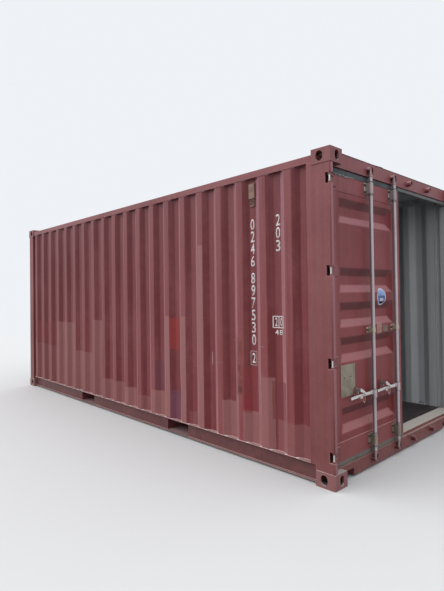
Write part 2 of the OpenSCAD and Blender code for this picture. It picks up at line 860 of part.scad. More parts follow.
// Door panel: a sheet with five pressed pans, two places left flat
panel_b0 = leaf_b + stile_hinge;
panel_b1 = leaf_end - stile_free;
panel_z0 = leaf_z0 + rail_bottom;
panel_z1 = leaf_z1 - rail_top;
pan_h = pan_flat + 2 * pan_slope;
pan_tops = [for (i = [0, 2, 3, 4, 6]) panel_z1 - pan_first - i * pan_pitch];
module pan(z1, depth, b_grow) {
  b0 = panel_b0 + pan_side;
  b1 = panel_b1 - pan_side;
  intersection() {
    along_b(b0, b1) polygon([[panel_a, z1], [panel_a + depth, z1 - pan_slope],
                             [panel_a + depth, z1 - pan_h + pan_slope], [panel_a, z1 - pan_h]]);
    translate([0, 0, z1 - pan_h]) linear_extrude(pan_h)
      polygon([[panel_a, b0], [panel_a + depth, b0 + pan_slope],
               [panel_a + depth, b1 - pan_slope], [panel_a, b1]]);
  }
}
module door_panel() {
  difference() {
    union() {
      block([panel_a, panel_b0, panel_z0], [panel_a + wall_t, panel_b1, panel_z1]);
      for (z = pan_tops) translate([wall_t, 0, 0]) pan(z, pan_depth);
    }
    for (z = pan_tops) translate([-0.01, 0, 0]) pan(z, pan_depth + 0.01);
  }
}

// Door seal: a wide outer lip over the rear frame and a body round the leaf
module ring(a0, a1, b0, b1, z0, z1) {
  difference() {
    block([a0, b0, z0], [a1, b1, z1]);
    block([a0 - e, leaf_b, leaf_z0], [a1 + e, leaf_end, leaf_z1]);
  }
}
module door_seal() {
  lip = leaf_a - seal_out;
  end = half_w - leaf_gap / 2;
  difference() {
    ring(lip, lip + seal_t, seal_lip_b, end, sill_ledge + seal_gap, header_z0 - seal_gap);
    for (z = hinge_heights)
      block([lip - e, leaf_b - 14, z - notch_h / 2], [leaf_a, leaf_b + e, z + notch_h / 2]);
  }
  ring(lip + seal_t, leaf_a + leaf_t - 2, leaf_b - seal_w, end,
       sill_high + seal_gap, header_low - seal_gap);
}

// Guides hold the bars on the leaf: a foot plate with chamfered corners under a
// pressed saddle, and a spacer that carries the bar from behind
module bar_guide(b, z, h, foot_a) {
  r = bar_r + guide_t;
  cut = guide_t * 2;
  y = guide_w / 2;
  difference() {
    translate([0, b, z]) union() {
      translate([foot_a, 0, 0]) rotate([0, -90, 0]) linear_extrude(guide_t)
        polygon([[-h / 2, cut - y], [-h / 2, y - cut], [cut - h / 2, y], [h / 2 - cut, y],
                 [h / 2, y - cut], [h / 2, cut - y], [h / 2 - cut, -y], [cut - h / 2, -y]]);
      block([bar_a, -r, guide_t - h / 2], [foot_a, r, h / 2 - guide_t]);
      translate([bar_a, 0, 0]) cylinder(r = r, h = h - 2 * guide_t, center = true);
    }
    translate([bar_a, b, z]) cylinder(r = bar_r + run_gap, h = h + e, center = true);
    for (s = [-1, 1]) block([foot_a - guide_t - 12, b + s * r / 2 - r / 4, z - h / 2 - e],
                            [foot_a - guide_t, b + s * r / 2 + r / 4, z + h / 2 + e]);
  }
}
guide_low_z = leaf_z0 + 27 + guide_h / 2;
guide_high_z = leaf_z1 - 6 - guide_h / 2;
module door_bar_guides() {
  for (b = bar_places) {
    bar_guide(b, guide_low_z, guide_h, leaf_a);
    bar_guide(b, guide_mid_z, guide_mid_h, panel_a_at(b));
    bar_guide(b, guide_high_z, guide_h, leaf_a);
  }
}
// The middle guide of a bar may stand on the panel or on the free stile
function panel_a_at(b) = b + guide_w / 2 > panel_b1 ? leaf_a : panel_a;

// Locking bar with its cams and the hub that carries the handle
hub_z = handle_z - 17;
hub_a = handle_a + handle_t + 1;
bar_z0 = keeper_z + keeper_r + 6;
bar_z1 = keeper_top_z - keeper_r - 6;
// Two jaws on the bar's end, turned to the door's free edge when locked
module cam() {
  reach = jaw_gap / 2 + jaw_h;
  intersection() {
    for (s = [-1, 1]) translate([0, 0, s * (jaw_gap + jaw_h) / 2]) intersection() {
      cylinder(r = cam_r, h = jaw_h, center = true);
      block([-cam_w / 2, 0, -jaw_h], [cam_w / 2, cam_r, jaw_h]);
    }
    keeper_disc(keeper_r - keeper_t - cam_clear, -cam_r, cam_r);
  }
  cylinder(r = tip_r, h = 2 * reach, center = true);
}
module lock_bar(b) {
  translate([bar_a, b, 0]) {
    translate([0, 0, bar_z0]) cylinder(r = bar_r, h = bar_z1 - bar_z0);
    for (z = [guide_low_z, guide_high_z], s = [-1, 1])
      translate([0, 0, z + s * (guide_h / 2 + collar_gap + collar_h / 2)])
        cylinder(r = bar_r + collar_out, h = collar_h, center = true);
    translate([0, 0, keeper_z]) cylinder(r = tip_r, h = bar_z0 - keeper_z + e);
    translate([0, 0, bar_z1 - e]) cylinder(r = tip_r, h = keeper_top_z - bar_z1 + e);
    for (z = [keeper_z, keeper_top_z]) translate([0, 0, z]) cam();
    translate([0, 0, hub_z]) cylinder(r = bar_r + hub_t, h = hub_h, center = true);
  }
  translate([0, b, handle_z]) {
    translate([hub_a, 0, 0]) rotate([90, 0, 90]) linear_extrude(hub_ear)
      polygon([[-bar_r, -30], [-bar_r, 16], [-pivot_b, 14], [-pivot_b, -14]]);
    translate([hub_a, -pivot_b, 0]) rotate([0, 90, 0]) cylinder(r = eye_h / 2, h = hub_ear);
    translate([handle_a - 5, -pivot_b, 0]) rotate([0, 90, 0])
      cylinder(r = stud_r, h = handle_t + 8);
    translate([handle_a - 5, -pivot_b, 0]) rotate([0, 90, 0])
      cylinder(r = stud_r + 3, h = 4);
  }
}
// Handle: an eye, a tapering arm and a flat grip, bent down a little
module handle(b) {
  grip = handle_l - pivot_b;
  bend = grip - grip_l;
  end = handle_h / 2 - 2;
  translate([handle_a, b - pivot_b, handle_z]) difference() {
    union() {
      rotate([0, 90, 0]) cylinder(r = eye_h / 2, h = handle_t);
      rotate([90, 0, 90]) linear_extrude(handle_t)
        polygon([[0, -handle_h / 2], [0, handle_h / 2], [-bend, end], [-grip + 4, end - 4],
                 [-grip, end - 8], [-grip, -end], [-grip + 4, -end - 4], [-bend, -end]]);
    }
    rotate([0, 90, 0]) translate([0, 0, -e])
      cylinder(r = stud_r + run_gap, h = handle_t + 2 * e);
  }
}
// Retainer: a plate with a shelf and a raised lip under the handle, and an ear
// whose stud carries the catch
catch_z = handle_z + catch_up;
module handle_retainer(b) {
  low = handle_z - handle_h / 2 - 1;
  lip_a = handle_a - 12;
  web_front = lip_a + 1 + catch_t + web_gap;
  web_back = handle_a + handle_t + web_gap;
  web_low = handle_z + handle_h / 2 + (retainer_b - pivot_b) * tan(handle_lift) + web_gap;
  y = retainer_w / 2;
  translate([0, b - retainer_b, 0]) {
    translate([panel_a, 0, 0]) rotate([0, -90, 0]) linear_extrude(retainer_t)
      polygon([[low - retainer_t, -y], [low - retainer_t, y], [catch_z, y],
               [catch_z + 20, y / 2], [catch_z + 20, -y / 2], [catch_z, -y]]);
    translate([0, y * 0.7, 0]) rotate([90, 0, 0]) linear_extrude(y * 1.4)
      polygon([[panel_a, low - retainer_t], [panel_a, low], [lip_a + retainer_t, low],
               [lip_a + retainer_t, low + lip_h], [lip_a, low + lip_h],
               [lip_a, low - retainer_t]]);
    translate([0, web_t / 2, 0]) rotate([90, 0, 0]) linear_extrude(web_t)
      polygon([[panel_a, handle_z + handle_h / 2], [web_back, handle_z + handle_h / 2],
               [web_back, web_low], [web_front, web_low], [web_front, catch_z + stud_r + 5],
               [panel_a, catch_z + stud_r + 14]]);
    translate([lip_a, 0, catch_z]) rotate([0, 90, 0])
      cylinder(r = stud_r, h = panel_a - lip_a);
  }
}
module handle_retainers() { for (b = bar_places) handle_retainer(b); }
// Catch: a plate that hangs from the stud in front of the handle, with a hole
// for a seal
module catch_plate(b) {
  r = stud_r + 8;
  translate([handle_a - 11, b - retainer_b, catch_z]) rotate([90, 0, 90]) difference() {
    union() {
      cylinder(r = r, h = catch_t);
      linear_extrude(catch_t)
        polygon([[1 - r, 0], [0, r - 3], [20, 6], [catch_l, -36], [catch_l + 2, -42],
                 [catch_l - 6, -48], [-4, 4 - r]]);
    }
    translate([0, 0, -e]) cylinder(r = stud_r + run_gap, h = catch_t + 2 * e);
    translate([catch_l - 38, -26, -e]) cylinder(r = 5, h = catch_t + 2 * e);
  }
}

module left_door_frame() { color(PAINT) left_door() door_frame(); }
module left_door_panel() { color(PAINT) left_door() door_panel(); }
module left_door_seal() { color(RUBBER) left_door() door_seal(); }
module left_door_hinge_blades() { color(PAINT) left_door() door_hinge_blades(); }
module left_door_bar_guides() { color(GALVANISED) left_door() door_bar_guides(); }
module left_handle_retainers() { color(GALVANISED) left_door() handle_retainers(); }
module left_outer_lock_bar() { color(GALVANISED) left_door() lock_bar(bar_outer); }
module left_inner_lock_bar() { color(GALVANISED) left_door() lock_bar(bar_inner); }
module left_outer_handle() { color(GALVANISED) left_door() handle(bar_outer); }
module left_inner_handle() { color(GALVANISED) left_door() handle(bar_inner); }
module left_outer_catch() { color(GALVANISED) left_door() catch_plate(bar_outer); }
module left_inner_catch() { color(GALVANISED) left_door() catch_plate(bar_inner); }

module right_door_frame() { color(PAINT) right_door() door_frame(); }
module right_door_panel() { color(PAINT) right_door() door_panel(); }
module right_door_seal() { color(RUBBER) right_door() door_seal(); }
module right_door_hinge_blades() { color(PAINT) right_door() door_hinge_blades(); }
module right_door_bar_guides() { color(GALVANISED) right_door() door_bar_guides(); }
module right_handle_retainers() { color(GALVANISED) right_door() handle_retainers(); }
module right_outer_lock_bar() { color(GALVANISED) right_door() lock_bar(bar_outer); }
module right_inner_lock_bar() { color(GALVANISED) right_door() lock_bar(bar_inner); }
module right_outer_handle() { color(GALVANISED) right_door() handle(bar_outer); }
module right_inner_handle() { color(GALVANISED) right_door() handle(bar_inner); }
module right_outer_catch() { color(GALVANISED) right_door() catch_plate(bar_outer); }
module right_inner_catch() { color(GALVANISED) right_door() catch_plate(bar_inner); }

bottom_corner_castings();
top_corner_castings();
bottom_side_rail_left();
bottom_side_rail_right();
top_side_rail_left();
top_side_rail_right();
side_wall_left();
side_wall_right();
front_wall();
roof_panel();
front_corner_posts();
rear_corner_posts();
rear_post_channels();
front_top_rail();
front_bottom_rail();
door_header();
door_sill();
floor_cross_members();
fork_pockets();
plywood_floor();
side_wall_vents();
lashing_rings();
header_cam_keepers();
sill_cam_keepers();
hinge_lugs();
hinge_pins();
left_door_frame();
left_door_panel();
left_door_seal();
left_door_hinge_blades();
left_door_bar_guides();
left_handle_retainers();
left_outer_lock_bar();
left_inner_lock_bar();
left_outer_handle();
left_inner_handle();
left_outer_catch();
left_inner_catch();
right_door_frame();
right_door_panel();
right_door_seal();
right_door_hinge_blades();
right_door_bar_guides();
right_handle_retainers();
right_outer_lock_bar();
right_inner_lock_bar();
right_outer_handle();
right_inner_handle();
right_outer_catch();
right_inner_catch();
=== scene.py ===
"""Looks of a twenty foot freight container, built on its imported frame.

Lengths are in metres. +X points to the doors, -Y is the long side with the markings, +Z is up.
Corner coordinates: a is the distance inwards from the door plane, b inwards from the side plane.
"""
import json
import math
from functools import partialmethod

import bmesh
import bpy
import numpy as np
from bpy.props import FloatProperty, FloatVectorProperty, IntProperty, PointerProperty
from mathutils import Matrix, Vector


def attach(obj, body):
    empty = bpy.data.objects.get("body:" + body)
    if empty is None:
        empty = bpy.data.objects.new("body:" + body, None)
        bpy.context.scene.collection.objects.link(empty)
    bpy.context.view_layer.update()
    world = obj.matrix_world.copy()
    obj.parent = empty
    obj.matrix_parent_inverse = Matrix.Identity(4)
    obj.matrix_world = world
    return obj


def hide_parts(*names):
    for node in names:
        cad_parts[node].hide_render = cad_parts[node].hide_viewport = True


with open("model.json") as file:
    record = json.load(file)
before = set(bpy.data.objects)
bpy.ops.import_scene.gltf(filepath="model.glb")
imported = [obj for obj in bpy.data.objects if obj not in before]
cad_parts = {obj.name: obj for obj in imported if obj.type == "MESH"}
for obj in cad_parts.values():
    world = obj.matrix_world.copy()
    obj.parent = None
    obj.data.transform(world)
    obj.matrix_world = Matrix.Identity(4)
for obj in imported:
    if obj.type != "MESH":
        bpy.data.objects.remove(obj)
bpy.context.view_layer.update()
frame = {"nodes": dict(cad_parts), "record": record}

bl_info = {
    "name": "Freight container",
    "version": (1, 0, 0),
    "blender": (4, 5, 0),
    "location": "3D View > Sidebar > Container",
    "description": "Builds the sheets, fittings, finishes and stage of a freight container",
    "category": "Object",
}

NODES = frame["nodes"]
BODY_OF = {node: body for body, names in frame["record"]["behaviour"]["bodies"].items()
           for node in names}

HALF_L, HALF_W, HEIGHT = 3.029, 1.219, 2.591
SIDES = ("left", "right")
OUTWARDS = {"left": (1, 0, 0), "right": (-1, 0, 0)}
BARS = {"outer": 0.640, "inner": 1.055}
# Corner castings: distances of their inner faces from the middle, and their height
CASTING_X, CASTING_Y, CASTING_H = 2.851, 1.057, 0.118

# Side walls
RIDGE_PITCH = 0.282
RIDGES = HALF_L - 0.425 - RIDGE_PITCH * np.arange(20)
RIDGE_FLAT, RIDGE_SLOPE, RIDGE_INSET, RIDGE_DEPTH = 0.074, 0.068, 0.008, 0.036
WALL_X, WALL_Z = (-2.879, 2.800), (0.162, 2.496)
# Front wall
FRONT_RIDGES = 0.250 * np.arange(-4, 5)
FRONT_FLAT, FRONT_SLOPE, FRONT_INSET, FRONT_DEPTH = 0.110, 0.018, 0.012, 0.045
FRONT_Y = (-1.099, 1.099)
# Roof: ROOF_END is the run of the slope at a ridge's end
ROOF_RIDGES = -2.8355 + 0.209 * np.arange(28)
ROOF_FLAT, ROOF_SLOPE, ROOF_DEPTH, ROOF_Z = 0.091, 0.0135, 0.020, 2.558
ROOF_X, ROOF_Y, ROOF_PAN_Y, ROOF_END = (-3.017, 2.899), 1.181, 1.091, 0.04
# Door panels
PANEL_A, PANEL_B, PANEL_Z = 0.072, (0.176, 1.091), (0.309, 2.284)
PAN_HEIGHT, PAN_SLOPE, PAN_DEPTH, PAN_B = 0.204, 0.068, 0.032, (0.196, 1.071)
PAN_MIDDLES = np.array([2.238, 1.682, 1.404, 1.126, 0.570]) - PAN_HEIGHT / 2
# Leaves: depth and ends of their frames, and the inner corner of the open one
LEAF_A, LEAF_B = 0.070, (0.103, 1.211)
OPEN_X, OPEN_Y = 2.989, 1.179
PIN_X = HALF_L - 0.020
# Hinge blades: their heights, their ends on the leaf, and half their height
HINGE_HEIGHTS = np.linspace(0.243, 2.351, 4)
BLADE_END, BLADE_HALF = 0.167, 0.039
# Bar guides: middles and half heights, then half width and thickness of their plates
GUIDES = ((0.240, 0.050), (1.162, 0.025), (2.362, 0.050))
GUIDE_B, GUIDE_PLATE = 0.048, 0.005
# Their bolts: distance from the bar's axis, and from a guide's ends
BOLT_B, BOLT_END = 0.037, 0.020
# Catches: their studs' distance from the bar's axis and height, and how far on the eyes are
STUD_B, STUD_Z, EYE_B, EYE_Z = 0.240, 0.691, 0.046, 0.026


def srgb(r, g, b):
    """Linear colour of an 8-bit screen colour."""
    def linear(v):
        v /= 255
        return v / 12.92 if v <= 0.04045 else ((v + 0.055) / 1.055) ** 2.4
    return linear(r), linear(g), linear(b)


class ContainerSizes(bpy.types.PropertyGroup):
    """Sizes of the pressed sheets and the fittings."""
    sheet: FloatProperty(name="Sheet", description="Thickness of the pressed sheets",
                         default=0.002, min=0.001, max=0.004, unit="LENGTH")
    rounding: FloatProperty(name="Bend rounding", description="Rounding of the bends, as a "
                            "share of a slope's width", default=0.10, min=0.02, max=0.3)
    waviness: FloatProperty(name="Waviness", description="Unevenness of the large sheets",
                            default=0.0013, min=0.0, max=0.005, unit="LENGTH")
    bolt: FloatProperty(name="Bolt", description="Width across the flats of a bolt's head",
                        default=0.017, min=0.01, max=0.03, unit="LENGTH")
    weld: FloatProperty(name="Weld", description="Leg of the weld beads",
                        default=0.005, min=0.002, max=0.01, unit="LENGTH")
    digit_height: FloatProperty(name="Digit height", description="Height of the painted digits",
                                default=0.098, min=0.05, max=0.15, unit="LENGTH")
    seal_wire: FloatProperty(name="Seal wire", description="Thickness of the seals' wire",
                             default=0.0035, min=0.002, max=0.006, unit="LENGTH")
    rows: IntProperty(name="Rows", description="Rows of faces over the height of a wall",
                      default=44, min=12, max=80)


class ContainerColours(bpy.types.PropertyGroup):
    """Colours of the finishes."""
    paint: FloatVectorProperty(name="Paint", description="Red-brown paint", subtype="COLOR",
                               size=3, default=srgb(139, 76, 78))
    faded: FloatVectorProperty(name="Faded paint", description="Chalky, bleached paint",
                               subtype="COLOR", size=3, default=srgb(154, 97, 99))
    fresh: FloatVectorProperty(name="Deep paint", description="Paint that kept its colour",
                               subtype="COLOR", size=3, default=srgb(112, 54, 59))
    rust: FloatVectorProperty(name="Rust", description="Rust and brown run-off",
                              subtype="COLOR", size=3, default=srgb(92, 54, 44))
    lining: FloatVectorProperty(name="Lining", description="Grey paint of the inside",
                                subtype="COLOR", size=3, default=srgb(184, 186, 187))
    zinc: FloatVectorProperty(name="Zinc", description="Dull galvanised steel",
                              subtype="COLOR", size=3, default=srgb(190, 181, 184))
    rubber: FloatVectorProperty(name="Rubber", description="Door gaskets", subtype="COLOR",
                                size=3, default=srgb(80, 84, 88))
    marking: FloatVectorProperty(name="Marking", description="White paint of the digits",
                                 subtype="COLOR", size=3, default=srgb(214, 208, 206))
    floor: FloatVectorProperty(name="Studio floor", description="Pale floor and backdrop",
                               subtype="COLOR", size=3, default=(0.58, 0.58, 0.58))


# Meshes

def rise(u, centres, flat, slope):
    """1 on a ridge's flat, 0 in a valley, a straight slope between them, both bends rounded.

    t falls by one across a slope. Within the rounding k of 0 the curve is (t + k) squared over
    4k, within k of 1 it is the same upside down, and between them it is t itself."""
    k = bpy.context.scene.container_sizes.rounding
    away = np.abs(np.asarray(u, float)[..., None] - centres).min(-1)
    t = (flat / 2 + slope - away) / slope
    return rounded(t, k)


def rounded(t, k):
    """Ramp from 0 to 1 whose two ends are parabolas of half-width k."""
    low = np.clip(t + k, 0, 2 * k) ** 2 / (4 * k)
    high = 1 - np.clip(1 + k - t, 0, 2 * k) ** 2 / (4 * k)
    return np.where(t < k, low, np.where(t > 1 - k, high, t))


def knots(lo, hi, bends, half, step, per_bend=5):
    """Sorted places from lo to hi: a few across each bend, and more between them every step."""
    bends = np.asarray(bends, float)
    close = (bends[:, None] + np.linspace(-half, half, per_bend)).ravel()
    even = np.linspace(lo, hi, max(2, int(round((hi - lo) / step)) + 1))
    far = even[np.abs(even[:, None] - bends).min(1) > half * 1.6]
    places = np.concatenate([close, far, [lo, hi]])
    places = np.unique(np.round(places[(places >= lo) & (places <= hi)], 5))
    return places[np.concatenate([[True], np.diff(places) > 4e-4])]


def stepped(places, cuts):
    """Places with two more, a millimetre before and behind each cut, where a rim has a step."""
    extra = np.add.outer(cuts, [-0.001, 0.001]).ravel()
    return np.unique(np.round(np.append(places, extra), 5))


def unevenness(u, v, lo, hi, seed, dents=()):
    """Sum of eight slow sine waves with seeded directions, and round hollows for the dents.

    It fades to nothing towards v = lo and v = hi, where the sheet is welded."""
    rng = np.random.default_rng(seed)
    total = np.zeros(np.broadcast(u, v).shape)
    for _ in range(8):
        ku, kv = rng.normal(0, 3.2), rng.normal(0, 4.5)
        total += np.sin(ku * u + kv * v + rng.uniform(0, 6.283)) / 3.2
    total *= bpy.context.scene.container_sizes.waviness
    for du, dv, radius, depth in dents:
        total += depth * np.exp(-((u - du) ** 2 + (v - dv) ** 2) / radius ** 2)
    edge = np.clip(np.minimum(v - lo, hi - v) / 0.15, 0, 1)
    return total * edge * edge * (3 - 2 * edge)


def quads(n, m, wrap_u=False, wrap_v=False):
    """Corner numbers of the faces of a grid of n by m points."""
    i = np.arange(n if wrap_u else n - 1)
    j = np.arange(m if wrap_v else m - 1)
    i, j = (g.ravel() for g in np.meshgrid(i, j, indexing="ij"))
    i1, j1 = (i + 1) % n, (j + 1) % m
    return np.stack([i * m + j, i1 * m + j, i1 * m + j1, i * m + j1], 1)


def add_object(name, data):
    """An object in the scene for a mesh, a text, a lamp or a camera."""
    obj = bpy.data.objects.new(name, data)
    bpy.context.scene.collection.objects.link(obj)
    return obj


def merge_doubles(mesh, distance, degenerate=False):
    """Merges the points of a mesh that lie together."""
    work = bmesh.new()
    work.from_mesh(mesh)
    bmesh.ops.remove_doubles(work, verts=work.verts, dist=distance)
    if degenerate:
        bmesh.ops.dissolve_degenerate(work, edges=work.edges, dist=1e-7)
    work.to_mesh(mesh)
    work.free()


def shade(mesh, sharp):
    """Smooth faces, with sharp edges past an angle."""
    mesh.polygons.foreach_set("use_smooth", np.ones(len(mesh.polygons), bool))
    mesh.set_sharp_from_angle(angle=math.radians(sharp))


def build(name, parts, finishes, body, sharp=38):
    """One object from parts of (points, quads, material number): faces turned outwards part by
    part by the sign of their volume, doubles merged, smooth with sharp edges past an angle.
    finishes are the names of its materials, with spaces between them."""
    points, faces, index, base = [], [], [], 0
    for co, quad, material in parts:
        a, b, c, d = (co[quad[:, k]] - co.mean(0) for k in range(4))
        if (np.cross(a, b) * c).sum() + (np.cross(a, c) * d).sum() < 0:
            quad = quad[:, ::-1]
        index.append(np.broadcast_to(material, len(quad)))
        points.append(co)
        faces.append(quad + base)
        base += len(co)
    points, faces, index = map(np.concatenate, (points, faces, index))
    mesh = bpy.data.meshes.new(name)
    mesh.vertices.add(len(points))
    mesh.vertices.foreach_set("co", points.ravel())
    mesh.loops.add(faces.size)
    mesh.loops.foreach_set("vertex_index", faces.ravel().astype(np.int32))
    mesh.polygons.add(len(faces))
    mesh.polygons.foreach_set("loop_start", np.arange(0, faces.size, 4, dtype=np.int32))
    mesh.update(calc_edges=True)
    for finish in finishes.split():
        mesh.materials.append(MATERIALS[finish])
    mesh.polygons.foreach_set("material_index", index.astype(np.int32))
    merge_doubles(mesh, 2e-6, degenerate=True)
    shade(mesh, sharp)
    obj = add_object(name, mesh)
    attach(obj, body)
    return obj


def pressed(name, outer, inner, finish, body, node):
    """A pressed sheet with the lining's paint on its inner skin, in the place of a CAD node."""
    obj = build(name, [slab(outer, inner)], finish + " lining_paint", body)
    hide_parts(node)


def slab(outer, inner, outer_mat=0, inner_mat=1):
    """Closed sheet between two grids of the same size: both skins, and a strip round the rim."""
    n, m = outer.shape[:2]
    face = quads(n, m)
    i, j = np.arange(n - 1), np.arange(m - 1)
    edges = np.concatenate([
        np.stack([i * m, (i + 1) * m], 1), np.stack([(i + 1) * m, i * m], 1) + m - 1,
        np.stack([j + 1, j], 1), np.stack([j, j + 1], 1) + (n - 1) * m])
    rim = np.stack([edges[:, 0], edges[:, 0] + n * m, edges[:, 1] + n * m, edges[:, 1]], 1)
    points = np.concatenate([outer.reshape(-1, 3), inner.reshape(-1, 3)])
    index = np.concatenate([np.full(len(face), outer_mat), np.full(len(face), inner_mat),
                            np.full(len(rim), outer_mat)])
    return points, np.concatenate([face, face[:, [0, 3, 2, 1]] + n * m, rim]), index


def unit(vectors):
    """Directions of length one."""
    return vectors / np.linalg.norm(vectors, axis=-1, keepdims=True)


def turned(profile, sides, centre, axis, start=0.0):
    """Rings of the given radius and height round an axis: each (radius, height) of the profile
    is carried round in equal steps. Radius 0 closes the shape in a pole."""
    profile = np.asarray(profile, float)
    turn = start + np.arange(sides) * 2 * np.pi / sides
    axis = np.asarray(axis, float)
    side = np.cross(axis, [0, 0, 1] if abs(axis[2]) < 0.9 else [1, 0, 0])
    up = np.cross(axis, side)
    around = np.cos(turn)[:, None] * side + np.sin(turn)[:, None] * up
    points = (np.asarray(centre, float) + profile[:, None, 0, None] * around[None]
              + profile[:, None, 1, None] * axis)
    return points.reshape(-1, 3), quads(len(profile), sides, wrap_v=True), 0


def wire_loop(path, radius, sides=8):
    """Round wire along a closed flat path: circles of the given radius, square to the path."""
    along = unit(np.roll(path, -1, 0) - np.roll(path, 1, 0))
    flat = np.eye(3)[int(np.argmin(path.max(0) - path.min(0)))]
    side = unit(np.cross(along, flat))
    up = np.cross(side, along)
    turn = np.arange(sides) * 2 * np.pi / sides
    rings = path[:, None] + radius * (
        np.cos(turn)[None, :, None] * side[:, None] + np.sin(turn)[None, :, None] * up[:, None])
    return rings.reshape(-1, 3), quads(len(rings), sides, wrap_u=True, wrap_v=True), 0


def capped(rings):
    """Strip along rings of points, closed at both ends by the middle of the last ring."""
    ends = np.repeat(rings[[0, -1]].mean(1)[:, None], rings.shape[1], 1)
    rings = np.concatenate([ends[:1], rings, ends[1:]])
    return rings.reshape(-1, 3), quads(*rings.shape[:2], wrap_v=True), 0


def bead(path, side_a, side_b, seed, gain=1.0):
    """Weld bead: a quarter-round strip in the corner along a path, its leg rippled along its run.

    Each point of the path gets four: one sunk into the corner, one a leg out on either side,
    and one between them at 0.42 of both legs. The leg is 0.85 plus 0.15 times a sine of the
    length run, plus a little noise."""
    path = np.asarray(path, float)
    leg = bpy.context.scene.container_sizes.weld * gain
    run = np.concatenate([[0], np.cumsum(np.linalg.norm(np.diff(path, axis=0), axis=1))])
    at = np.linspace(0, run[-1], max(8, int(run[-1] / 0.012)))
    at = np.unique(np.concatenate([at, run]))
    rng = np.random.default_rng(seed)
    size = leg * (0.85 + 0.15 * np.sin(at * 520) + 0.10 * rng.normal(size=len(at)).clip(-1, 1))
    size = size[:, None]

    def along(values):
        """Values at the path's points carried to all places. A single direction stays."""
        values = np.asarray(values, float)
        if values.ndim == 1:
            return values
        return np.stack([np.interp(at, run, values[:, k]) for k in range(3)], 1)
    line, a, b = along(path), along(side_a), along(side_b)
    return capped(np.stack([line - (a + b) * 0.0012, line + a * size,
                            line + (a + b) * size * 0.42, line + b * size], 1))


def door_point(side, a, b, z):
    """Corner coordinates of a door in the row frame: the left door shut, the right one open."""
    a, b, z = np.broadcast_arrays(np.asarray(a, float), b, z)
    if side == "left":
        return np.stack([HALF_L - a, b - HALF_W, z], -1)
    return np.stack([OPEN_X + a, OPEN_Y + b, z], -1)


def round_edges(obj, width, worn):
    """Bevel whose faces take the second material where the edges are worn: paler paint for wear,
    which is also a painted highlight on the edges.
    """
    rounding = obj.modifiers.new("rounding", "BEVEL")
    rounding.width, rounding.segments = width, 2
    rounding.limit_method, rounding.angle_limit = "ANGLE", math.radians(32)
    if worn:
        rounding.material = 1
    return rounding


def merged_copy(node, finishes, bevel):
    """A copy of a CAD node with its doubles merged, smooth between sharp edges, edges rounded.

    A second material is that of the worn edges, whose paler paint is also a painted highlight on
    them."""
    mesh = NODES[node].data.copy()
    mesh.name = node + "_finished"
    merge_doubles(mesh, 1e-5)
    for name in [a.name for a in mesh.attributes if a.name == "custom_normal"]:
        mesh.attributes.remove(mesh.attributes[name])
    shade(mesh, 30)
    mesh.materials.clear()
    for finish in finishes:
        mesh.materials.append(MATERIALS[finish])
    mesh.polygons.foreach_set("material_index", np.zeros(len(mesh.polygons), np.int32))
    obj = add_object(node + "_finished", mesh)
    if bevel:
        round_edges(obj, bevel, len(finishes) > 1).harden_normals = True
    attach(obj, BODY_OF[node])
    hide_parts(node)


# Materials

GROUPS, MATERIALS = {}, {}


class Field:
    """An output of a shader node: the first, or the one that [name or number] picks. Signs of
    arithmetic put a Math node behind it."""

    def __init__(self, tree, node, key=0):
        self.tree, self.node, self.key = tree, node, key

    def __getitem__(self, key):
        return Field(self.tree, self.node, key)

    def by(self, operation, other=0.0):
        """Result of a Math node on this value and another."""
        return put(self.tree, "ShaderNodeMath", {0: self, 1: other}, operation=operation)

    __add__, __sub__ = partialmethod(by, "ADD"), partialmethod(by, "SUBTRACT")
    __mul__, __truediv__ = partialmethod(by, "MULTIPLY"), partialmethod(by, "DIVIDE")
    __gt__, __lt__ = partialmethod(by, "GREATER_THAN"), partialmethod(by, "LESS_THAN")
    __abs__, fraction = partialmethod(by, "ABSOLUTE"), partialmethod(by, "FRACT")
    least, most = partialmethod(by, "MINIMUM"), partialmethod(by, "MAXIMUM")

    def __rsub__(self, other):
        return put(self.tree, "ShaderNodeMath", {0: other, 1: self}, operation="SUBTRACT")

    def clamped(self):
        """This Math node's result, kept between 0 and 1."""
        self.node.use_clamp = True
        return self

    def step(self, lo, hi, to_lo=0.0, to_hi=1.0, kind="SMOOTHSTEP"):
        """Smooth step of a value between two limits."""
        return put(self.tree, "ShaderNodeMapRange", {
            "Value": self, "From Min": lo, "From Max": hi, "To Min": to_lo, "To Max": to_hi},
            interpolation_type=kind)

    def ramp(self, lo, hi, to_lo=0.0, to_hi=1.0):
        """Straight step of a value between two limits."""
        return self.step(lo, hi, to_lo, to_hi, "LINEAR")

    def vector(self, operation, other=(0, 0, 0)):
        """Result of a Vector Math node on this vector and another."""
        return put(self.tree, "ShaderNodeVectorMath", {0: self, 1: other}, operation=operation)

    def parts(self):
        """X, Y and Z of a vector."""
        split = put(self.tree, "ShaderNodeSeparateXYZ", {0: self})
        return split[0], split[1], split[2]

    def noise(self, scale, detail=3.0, rough=0.55):
        """Noise texture at these coordinates."""
        return put(self.tree, "ShaderNodeTexNoise", {
            "Vector": self, "Scale": scale, "Detail": detail, "Roughness": rough})

    def under(self, mask, tone):
        """This colour with a tone laid over it by a mask."""
        return blend(self.tree, mask, self, tone)

    def dimmed(self, tone):
        """This colour times another colour or a value."""
        return blend(self.tree, 1.0, self, tone, "MULTIPLY")


def feed(tree, node, inputs):
    """Gives inputs of a node, by name or number, a value or the link of a field."""
    for name, value in inputs.items():
        socket = node.inputs[name]
        if isinstance(value, Field):
            tree.links.new(value.node.outputs[value.key], socket)
        else:
            socket.default_value = (*tuple(value)[:3], 1.0) if socket.type == "RGBA" else value


def put(tree, kind, inputs=None, **settings):
    """A node with its settings and its inputs, as the field of its first output."""
    node = tree.nodes.new(kind)
    for name, value in settings.items():
        setattr(node, name, value)
    feed(tree, node, inputs or {})
    return Field(tree, node)


